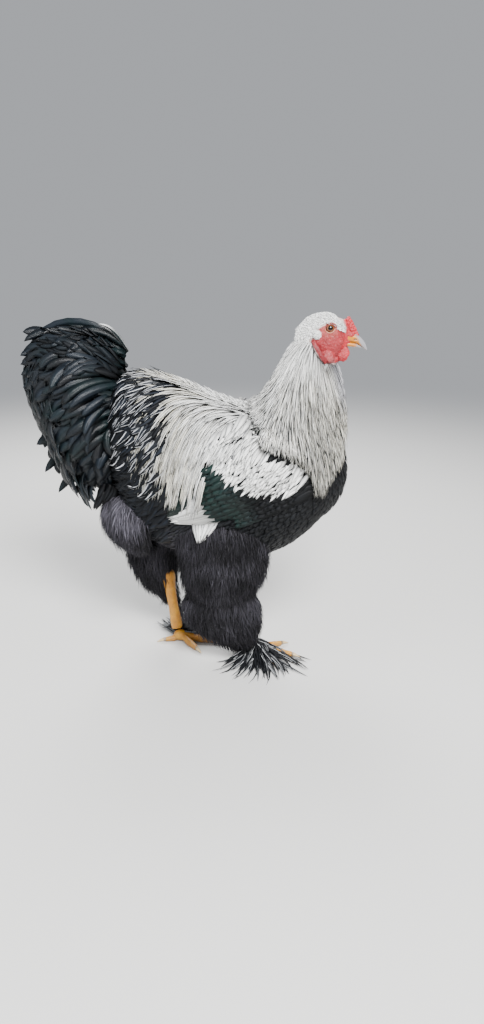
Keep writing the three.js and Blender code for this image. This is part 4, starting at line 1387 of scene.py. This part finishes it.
def back_coat():
    """White back and saddle feathers with black stripes, hanging down over the wings' ends."""
    coat = Coat("coat_saddle", hackle_stuff, "plumage_silver")
    for side in (LEFT, RIGHT):
        place = over_flank(side)
        for degrees in range(96, 10, -7):
            low_x, high_x = (-108, 66) if degrees > 40 else (-132, -20)
            x = np.arange(high_x, low_x, -3.1)
            n = len(x)
            x = x + jitter(n, 2)
            angle = np.radians(degrees + jitter(n, 4))
            length = np.interp(degrees, [12, 50, 96], [74, 96, 60]) * (1 + jitter(n, 0.13))
            length = length * np.interp(x, [-150, -60, 0, 66], [1.22, 1.16, 0.78, 0.45])
            step_x = -length * np.interp(degrees, [16, 60, 96], [0.22, 0.42, 0.8])
            _, step_b = steps_for(place, x, angle, 0, -1, length * 0.86)
            step_b = step_b * np.interp(degrees, [60, 96], [1, 0.55])
            rise = 7 + jitter(n, 1.8)
            half = np.interp(x, [-150, 0, 66], [2.5, 3.0, 4.4]) + jitter(n, 0.35)
            shape = lay(place, x, angle, step_x, step_b, rise, -5, LANCE, half)
            stripe = np.interp(x, [-150, -110, -40, 30], [0.27, 0.22, 0.15, 0.06]) * (1 + jitter(n, 0.4))
            white = np.clip(0.45 + fade(x, -60, 90) + jitter(n, 0.4), 0, 1)
            coat.add(*shape, 0.45, mixed(CREAM, WHITE, white), BLACK * 1.3, stripe, jitter(n, 0.2))
    return coat.build()


# The cushion's black feathers, and the few long ones with fine white edges over them
CUSHION_LAYERS = (
    dict(
        x=(-78, -200, -9.5), angles=(-35, 94), gap=11.5, length=(70, 14), sink=(0.75, 0.15),
        rise=8, root=-5, half=(9.2, 1.6), bow=0.05, laced=0.0, thick=0.5, roll=0.25,
    ),
    dict(
        x=(-84, -196, -15.0), angles=(6, 92), gap=13.0, length=(82, 16), sink=(0.72, 0.2),
        rise=12, root=-4, half=(6.4, 1.4), bow=0.08, laced=0.8, thick=0.45, roll=0.2,
    ),
)


def about(n, value, amount):
    return value + jitter(n, amount)


def cushion_coat():
    """Laced black feathers over the root of the tail, and the tail's top."""
    coat = Coat("coat_cushion", black_stuff, "plumage_black")
    for side in (LEFT, RIGHT):
        place = over_flank(side)
        for kind in CUSHION_LAYERS:
            a, b = surface_rows(place, np.arange(*kind["x"]), *np.radians(kind["angles"]), kind["gap"])
            n = len(a)
            length = about(n, *kind["length"])
            step_a, _ = steps_for(place, a, b, -1, 0, length)
            _, sink = steps_for(place, a, b, 0, -1, length * about(n, *kind["sink"]))
            rise = about(n, kind["rise"], 2.5)
            half = about(n, *kind["half"])
            bow = jitter(n, kind["bow"])
            shape = lay(place, a, b, step_a * 0.62, sink, rise, kind["root"], LANCE, half, bow)
            centre = mixed(BLACK, CUSHION_TONE, rng.random(n))
            laced = rng.random(n) < kind["laced"] if kind["laced"] else np.zeros(n)
            edge = mixed(BLACK * 1.6, LACE, laced)
            stripe = np.where(laced, 0.405, 0.3)
            coat.add(*shape, kind["thick"], edge, centre, stripe, jitter(n, kind["roll"]))
    # The tail's top, between its two sides
    t = np.repeat(np.arange(0.2, 4.6, 0.3), 9)
    n = len(t)
    angle = np.radians(90 + np.tile(np.linspace(-44, 44, 9), n // 9) + jitter(n, 5))
    t = t + jitter(n, 0.1)
    step_t, step_b = np.minimum(1.25 + jitter(n, 0.2), 5.0 - t), jitter(n, 0.2)
    rise = 5 + jitter(n, 2)
    shape = lay(tail.place, t, angle, step_t, step_b, rise, -4, BROAD, 8.6 + jitter(n, 1))
    tone = mixed(BLACK, TAIL_TOP_TONE, rng.random(n))
    coat.add(*shape, 0.6, tone * 1.3, tone, 0.1, jitter(n, 0.3))
    return coat.build()


# The white bow's lower and upper edge, along the wing's own axis
BOW_U = (-0.12, 0.03, 0.22, 0.5, 0.73, 0.97, 1.04)
BOW_LOW = (0.6, -0.1, -0.54, -0.95, -0.9, -0.4, -0.2)
BOW_TOP_U = (-0.12, 0.45, 0.75, 0.95, 1.04)
BOW_TOP = (1.0, 1.1, 0.75, 0.2, -0.1)
GREEN_FROM = 0.36  # behind this the lower wing is glossy


def below_rim(root, x, over):
    """Whether a root lies under the hackle's rim, raised by what x and over give."""
    return root[:, 2] < rim(root[:, 0]) + np.interp(root[:, 0], x, over)


def wing_coats():
    """White bow and secondaries, glossy bar and the black lower wing."""
    coverts = Coat("coat_wings", white_stuff, "plumage_white")
    quills = Coat("coat_wing_bars", gloss_stuff, "plumage_green")
    black = Coat("coat_wing_edges", black_stuff, "plumage_black")
    for side in (LEFT, RIGHT):
        place, outer = wing_place(side), over_wing(side)

        def put(coat, u, v, end_u, end_v, rise, shares, half, edge, centre, stripe, roll=0.1, root=-4):
            n = len(v)
            shape = lay(place, u, v, end_u - u, end_v - v, rise + jitter(n, 0.6), root, shares, half)
            coat.add(*shape, 0.5, edge, centre, stripe, jitter(n, roll))

        def shown_only(coat, shown, shape, edge, centre, stripe, roll):
            coat.add(*(v[shown] for v in shape), 0.5, edge, centre[shown], stripe[shown], roll[shown])
        # The black lower wing under the bow
        for u0 in np.arange(1.0, 0.12, -0.085):
            v = np.arange(-1.12, 1.1 if u0 > GREEN_FROM else 0.1, 0.13)
            n = len(v)
            u = u0 + jitter(n, 0.02)
            shape = lay(outer, u, v, -0.32, -0.05, 2.6 + jitter(n, 0.5), -4, ROUND, 8.4)
            tone = np.repeat(mixed(BLACK, GREEN, fade(u0, 0.45, -0.3)), n, 0)
            shown = below_rim(shape[0][:, 0], [92, 120], [-4, 25])
            coat = quills if u0 < GREEN_FROM else black
            shown_only(coat, shown, shape, tone[shown] * 1.4, tone, np.full(n, 0.2), jitter(n, 0.12))
        # The white bow: every feather by its tip, ragged along the lower edge
        for u0 in np.arange(1.02, -0.14, -0.042):
            v = np.arange(np.interp(u0, BOW_U, BOW_LOW), np.interp(u0, BOW_TOP_U, BOW_TOP), 0.082)
            n = len(v)
            tip_u, tip_v = u0 + jitter(n, 0.05), v + jitter(n, 0.05)
            back, drop = 0.22 + jitter(n, 0.06), 0.20 + jitter(n, 0.12)
            speck = rng.random(n) < np.where((v > 0.25) & (u0 < 0.6), 0.16, 0.015)
            rise, half = 5.4 + jitter(n, 1.4), 4.8 + jitter(n, 1.0)
            shape = lay(outer, tip_u + back, tip_v + drop, -back, -drop, rise, -3, LANCE, half)
            shown = below_rim(shape[0][:, 1], [0, 25, 70], [50, 2, -2])
            if shown.any():
                centre = mixed(WHITE, GREY * 0.5, speck)
                shown_only(coverts, shown, shape, WHITE, centre, np.where(speck, 0.3, 0.0), jitter(n, 0.3))
        # The glossy bar, the white secondaries, the glossy ones over them, the lower edge and the end
        for u0, rise in ((0.14, 4.2), (0.02, 3.4), (-0.1, 2.8)):
            v = np.arange(-0.86, 0.62, 0.14)
            u = u0 + jitter(len(v), 0.015)
            put(quills, u, v, u - 0.36, v - 0.04, rise, ROUND, 8.2, GREEN * 1.3, GREEN, 0.2)
        end_u, end_v = -0.9 - 0.08 * rng.random(11), np.linspace(-0.47, -0.26, 11)
        put(coverts, -0.27, np.linspace(-0.84, 0.0, 11), end_u, end_v, np.linspace(1.2, 3.0, 11),
            BROAD, 6.2, WHITE, GREY, 0.02, 0.05, -1.0)
        end_u, end_v = np.linspace(-0.98, -0.9, 7), np.linspace(-0.24, -0.02, 7)
        put(quills, -0.2, np.linspace(0.03, 0.55, 7), end_u, end_v, 4.2, BROAD, 6.8, GREEN * 1.2, GREEN,
            0.2, 0.05)
        u = np.linspace(0.62, -0.22, 9)
        v = -np.sqrt(1 - u * u) * 0.96
        put(quills, u, v, u - 0.5, v - 0.02, 2.0, LANCE, 6.0, BLACK, BLACK, 0.2, 0.1, -3)
        u = np.linspace(-0.3, -0.66, 8)
        v, end_u = (np.interp(u, [-0.66, -0.3], ends) for ends in ([-0.6, -0.8], [-0.74, -0.66]))
        end_v = -1.22 + 0.05 * rng.random(8)
        put(coverts, u, v, end_u, end_v, 11.0, LANCE, 4.2, WHITE, GREY, 0.03, 0.1, 2.0)
    return coverts.build(), quills.build(), black.build()


def curved(root, heading, turn, length, k):
    """Side-view points of a feather that leaves at a heading and turns as it goes."""
    s = np.linspace(0, 1, k)
    angle = heading[:, None] + turn[:, None] * (s[None] ** 1.2)
    step = length[:, None] / (k - 1)
    x = root[0][:, None] - np.cumsum(np.cos(angle) * step, axis=1) + np.cos(angle[:, :1]) * step
    z = root[1][:, None] + np.cumsum(np.sin(angle) * step, axis=1) - np.sin(angle[:, :1]) * step
    return np.maximum(x, TAIL_BACK), np.minimum(z, TAIL_TOP)


def back_of_tail(y, z):
    """The rearmost x of the tail at a place of the back view."""
    x = np.linspace(TAIL[-1][0], TAIL[0][0], 90)
    centre, high, half = tail_section(x)
    out = ((z[..., None] - centre) / high) ** 2 + (y[..., None] / half) ** 2
    inside = out < 1
    return np.where(inside.any(axis=-1), x[np.argmax(inside, axis=-1)], np.nan)


# Sheaves of tail feathers: count, root x, root z from and to, heading from and to in degrees,
# turn from and to, length from and to, lift and half width
SHEAVES = [
    (11, -178, 578, 500, 46, -4, -92, -50, 182, 124, 3.0, 10.5),
    (10, -186, 520, 400, 2, -36, -44, -26, 132, 92, 3.0, 10.5),
    (9, -186, 586, 480, 38, -4, -78, -44, 134, 106, 6.5, 10.2),
    (9, -196, 560, 400, 10, -38, -60, -20, 96, 74, 9.0, 10.2),
    (8, -180, 582, 520, 50, 12, -84, -56, 100, 92, 10.5, 9.4),
]


def tail_coat():
    """Long sickles that arch back and over, and broad drooping feathers over them."""
    coat = Coat("coat_tail", gloss_stuff, "plumage_green")
    k = len(BROAD) + 1
    for side in (LEFT, RIGHT):
        place = tail_place(side)

        def put(root, heading, turn, length, lift, half):
            n = len(heading)
            x, z = curved(root, heading, turn, length, k)
            curl = jitter(n, 5)[:, None] * along(k) ** 3
            points, normals = on_surface(place, x, z, -4 + (lift[:, None] + 4) * along(k) ** 0.7 + curl)
            tone = mixed(BLACK, TAIL_TONE, rng.random(n))
            coat.add(points, normals, widths(BROAD, half), 0.6, tone * 1.5, tone, 0.1, jitter(n, 0.45))
        for count, x, high_z, low_z, up, low, bend, low_bend, long, short, lift, half in SHEAVES:
            t = np.linspace(0, 1, count) + jitter(count, 0.02)
            put(
                (x + jitter(count, 5), high_z + (low_z - high_z) * t),
                np.radians(up + (low - up) * t + jitter(count, 6)),
                np.radians(bend + (low_bend - bend) * t + jitter(count, 16)),
                (long + (short - long) * t) * (1 + jitter(count, 0.07)),
                lift + jitter(count, 1.5),
                half + jitter(count, 1.2),
            )
        # Loose, drooping feathers all over the side, none past the tail's back
        rows = [(x, z) for x in range(-196, -316, -17) for z in range(596, 356, -18)]
        x, z = np.array(rows, float).T
        x, z = x + jitter(len(x), 5), z + jitter(len(z), 5)
        centre, high, _ = tail_section(x)
        inside = (np.abs(z - centre) < high * 0.95) & (rng.random(len(x)) < 0.85)
        x, z = x[inside], z[inside]
        n = len(x)
        heading = np.arctan2(z - 520, -(x + 150)) * 0.75 - 0.12 + jitter(n, 0.32)
        turn = -0.75 + jitter(n, 0.6)
        length = np.minimum(58 + jitter(n, 15), np.maximum(32, 352 + x))
        put((x, z), heading, turn, length, 11 + jitter(n, 5), 9.2 + jitter(n, 1.8))
        if side == RIGHT:  # one pale-edged feather over the top
            shape = lay(place, -170, 574, -48, 48, 17, -3, BROAD, 4.4, 12)
            coat.add(*shape, 0.6, (0.86, 0.86, 0.86), BLACK, 0.2)
    # The back of the tail, seen from behind
    z, y = np.meshgrid(np.arange(608, 338, -11.0), np.arange(-66, 67, 8.5), indexing="ij")
    y, z = y.ravel() + jitter(y.size, 3), z.ravel() + jitter(z.size, 4)
    x = back_of_tail(y, z)
    y, z, x = y[~np.isnan(x)], z[~np.isnan(x)], x[~np.isnan(x)]
    n = len(x)
    length = 48 + jitter(n, 9)
    end_y = y * 1.12 + jitter(n, 6)
    end_x = back_of_tail(end_y, z - length)
    end_x = np.where(np.isnan(end_x), x + 14, end_x)
    s = along(k)
    points = np.stack(
        [
            x[:, None] + (end_x - x)[:, None] * s - (-4 + 11 * s ** 0.8 + 8 * np.sin(np.pi * s)),
            y[:, None] + (end_y - y)[:, None] * s,
            z[:, None] - length[:, None] * s,
        ],
        -1,
    )
    points[..., 0] = np.maximum(points[..., 0], TAIL_BACK)
    normals = points * (0, 1 / 60, 0) - (1, 0, 0)
    halves = widths(BROAD, 7.4 + jitter(n, 1))
    tone = mixed(BLACK, TAIL_TOP_TONE, rng.random(n))
    coat.add(points, unit(normals), halves, 0.6, tone * 1.5, tone, 0.1, jitter(n, 0.3))
    return coat.build()


def head_coat():
    """Short white feathers over the crown, the nape and the ears, up to the bare face."""
    coat = Coat("coat_head", white_stuff, "plumage_white")

    def skip(t, angle, p):
        x, y, z = p[..., 0], np.abs(p[..., 1]), p[..., 2]
        bare = inside_outline(x, z, FACE) > -0.6
        comb = (path_distance(p, COMB_PATH) < 8.0) & (y < 9)
        return bare | comb | (x > 206)
    a, b = surface_rows(head.place, np.arange(6.2, -0.2, -0.125), 0, FULL_TURN, 1.9, skip)
    n = len(a)
    step_a, _ = steps_for(head.place, a, b, -1, 0, 8.5 + jitter(n, 2))
    across = np.cos(b)
    _, fall = steps_for(head.place, a, b, 0, 1, 2.6 * np.abs(across) + jitter(n, 0.8))
    rise, half = 2.4 + jitter(n, 0.8), 1.25 + jitter(n, 0.25)
    shape = lay(head.place, a, b, step_a, -fall * np.sign(across), rise, -1.5, WISP, half)
    coat.add(*shape, 0.3, WHITE, WHITE, 0.0, jitter(n, 0.3))
    # A soft tuft over each ear
    for side in (LEFT, RIGHT):
        ear = ball_place(**EAR_TUFT, side=side)
        a, b = surface_rows(ear, np.radians(np.arange(14, 170, 11)), *np.radians((-75, 80)), 1.5)
        n = len(a)
        step_a, step_b = steps_for(ear, a, b, 0.75, -0.55, 8.5 + jitter(n, 2))
        rise, half, curl = 2.6 + jitter(n, 1.4), 1.15 + jitter(n, 0.25), jitter(n, 1.5)
        shape = lay(ear, a, b, step_a, step_b, rise, -2, WISP, half, 0.0, curl)
        coat.add(*shape, 0.3, WHITE, WHITE, 0.0, jitter(n, 0.5))
    return coat.build()


# Layers of foot feathers: count, reach, height of the roots and of the tips
FOOT_LAYERS = ((34, 110, 9, 1.8), (32, 88, 14, 4), (28, 64, 20, 8), (20, 42, 27, 14))


def foot_coat():
    """Feathers spread from the foot's outer side and down the shank, some with pale edges."""
    coat = Coat("coat_feet", black_stuff, "plumage_black")
    s = along(len(LANCE) + 1)

    def put(points, normals, half, thick, pale_share, dark_edge, pale_stripe, roll):
        n = len(points)
        pale = rng.random(n) < pale_share
        edge = mixed(BLACK * dark_edge, FOOT_LACE, pale)
        stripe = np.where(pale, pale_stripe, 0.2)
        coat.add(points, normals, widths(LANCE, half), thick, edge, BLACK * 1.6, stripe, jitter(n, roll))
    for leg in LEGS.values():
        side = leg["side"]
        x, y = leg["ball"]
        for count, reach, high, low_z in FOOT_LAYERS:
            t = np.linspace(0, 1, count)
            angle = side * np.radians(4 + 124 * t + jitter(count, 5))
            bend = side * np.radians(8 + jitter(count, 12))
            length = reach * (1 - 0.16 * t) * (1 + jitter(count, 0.16))
            length = length * np.interp(t, [0, 0.3, 0.7, 1], [1.05, 1.2, 1.02, 1.0])
            way = angle[:, None] + bend[:, None] * s ** 2
            r = 5 + (length[:, None] - 5) * s
            arch = 4 * np.sin(np.pi * s) * (high / 20)
            z = high + arch + (low_z - high) * s + jitter(count, 1.2)[:, None] * s
            out = np.clip(side * y + np.sin(way) * r, -FOOT_REACH, FOOT_REACH)
            points = np.stack([x - 7 + np.cos(way) * r, out, np.maximum(z, 1.6)], -1)
            upwards = np.broadcast_to((0.0, 0.0, 1.0), points.shape)
            put(points, upwards, 3.9 + jitter(count, 0.9), 0.5, 0.5, 2.2, 0.32, 0.4)
        # Down the outer side of the shank
        count = 90 if side == LEFT else 50
        t = rng.random(count)
        turn = np.radians(rng.uniform(-25, 100, count))
        hock, ankle = mirrored(leg["hock"], side), mirrored(leg["ankle"], side)
        start = hock + (ankle - hock) * (0.1 + 0.85 * t[:, None])
        out = np.stack([np.cos(turn) * 0.9, side * np.sin(turn), np.zeros(count)], -1)[:, None]
        length = 40 + jitter(count, 12)
        fall = np.array([0.18, side * 0.25, -0.93]) * length[:, None, None]
        points = start[:, None] + out * (7 + 10 * s[..., None]) + fall * s[..., None]
        points[..., 2] = np.maximum(points[..., 2], 2.0)
        normals = np.broadcast_to(out, points.shape)
        put(points, normals, 3.2 + jitter(count, 0.8), 0.45, 0.4, 2, 0.3, 0.5)
    return coat.build()


body_coat()
hackle_coat()
back_coat()
cushion_coat()
wing_coats()
tail_coat()
head_coat()
foot_coat()
down_coat("down_rump", rump_place, np.radians(np.arange(-100, 100, 3.6)), 1.0, -1.45, 0.0, -1.0, 30)
down_coat("down_thigh_right", thigh_right.place, np.arange(0.5, 5.0, 0.10), 0, FULL_TURN, 1.0, 0.0, 30)
down_coat("down_thigh_left", thigh_left.place, np.arange(0.5, 6.1, 0.11), 0, FULL_TURN, 1.0, 0.0, 28)
down_coat("down_stocking", stocking.place, np.arange(0.1, 5.0, 0.13), 0, FULL_TURN, 1.0, 0.0, 28)
hock = tilt_first(ball_place(**HOCK, side=RIGHT))
down_coat("down_hock", hock, np.radians(np.arange(44, -58, -5.0)), 0, FULL_TURN, -1.0, 0.0, 40)


# Floor, light and camera

def make_stage():
    made, g = material("studio_floor", 0.85, 0.2)
    corners = [(x * FLOOR_HALF, y * FLOOR_HALF, 0) for x, y in ((-1, -1), (1, -1), (1, 1), (-1, 1))]
    floor = make_object("floor", corners, [(0, 1, 2, 3)], made)
    tone = g.node("ShaderNodeTexNoise")
    g.constants(tone, {"Scale": 3.0, "Detail": 3.0, "Roughness": 0.55})
    g.base(g.mix(g.ramp(tone.outputs["Fac"], 0.3, 0.7), (0.60, 0.595, 0.58), (0.63, 0.625, 0.61)))
    # Far off, the floor turns into the backdrop, so no horizon shows
    length = g.node("ShaderNodeVectorMath", operation="LENGTH")
    g.link(g.place(), length.inputs[0])
    far = g.ramp(length.outputs["Value"], 0.9, 3.2)
    glow = g.node("ShaderNodeEmission")
    g.constants(glow, {"Color": (*STUDIO, 1.0)})
    blend = g.node("ShaderNodeMixShader")
    g.link(far, blend.inputs[0])
    g.link(g.shader.outputs[0], blend.inputs[1])
    g.link(glow.outputs[0], blend.inputs[2])
    g.link(blend.outputs[0], g.tree.nodes["Material Output"].inputs["Surface"])


def area_light(name, place, target, size, power, colour=(1, 1, 1)):
    data = bpy.data.lights.new(name, "AREA")
    data.shape = "SQUARE"
    data.size = size
    data.energy = power
    data.color = colour
    obj = add_object(name, data)
    obj.location = place
    way = np.array(target) - np.array(place)
    obj.rotation_euler = (math.atan2(math.hypot(way[0], way[1]), -way[2]), 0, math.atan2(-way[0], way[1]))


def make_light():
    area_light("key", (0.7, -1.8, 2.1), (0, 0, 0.35), 1.0, 210)
    area_light("fill", (-1.9, -0.9, 1.3), (0, 0, 0.3), 1.8, 20, (0.90, 0.95, 1.0))
    area_light("rim", (-0.6, 1.8, 2.0), (0, 0, 0.4), 1.4, 95)
    world = bpy.data.worlds.new("studio")
    world.use_nodes = True
    backdrop = world.node_tree.nodes["Background"]
    backdrop.inputs[0].default_value = (*STUDIO, 1)
    backdrop.inputs[1].default_value = 1.0
    bpy.context.scene.world = world


CAMERA = dict(place=(0.1178, -1.2857, 0.7513), down=math.radians(20), turn=math.radians(4), lens=25.98)


def make_camera():
    """The photo's own view of the bird."""
    data = bpy.data.cameras.new("camera")
    data.sensor_width = 36.0
    data.sensor_fit = "AUTO"
    data.lens = CAMERA["lens"]
    obj = add_object("camera", data)
    obj.location = np.array(CAMERA["place"]) + SHIFT
    obj.rotation_euler = (math.pi / 2 - CAMERA["down"], 0, CAMERA["turn"])
    bpy.context.scene.camera = obj


make_stage()
make_light()
make_camera()
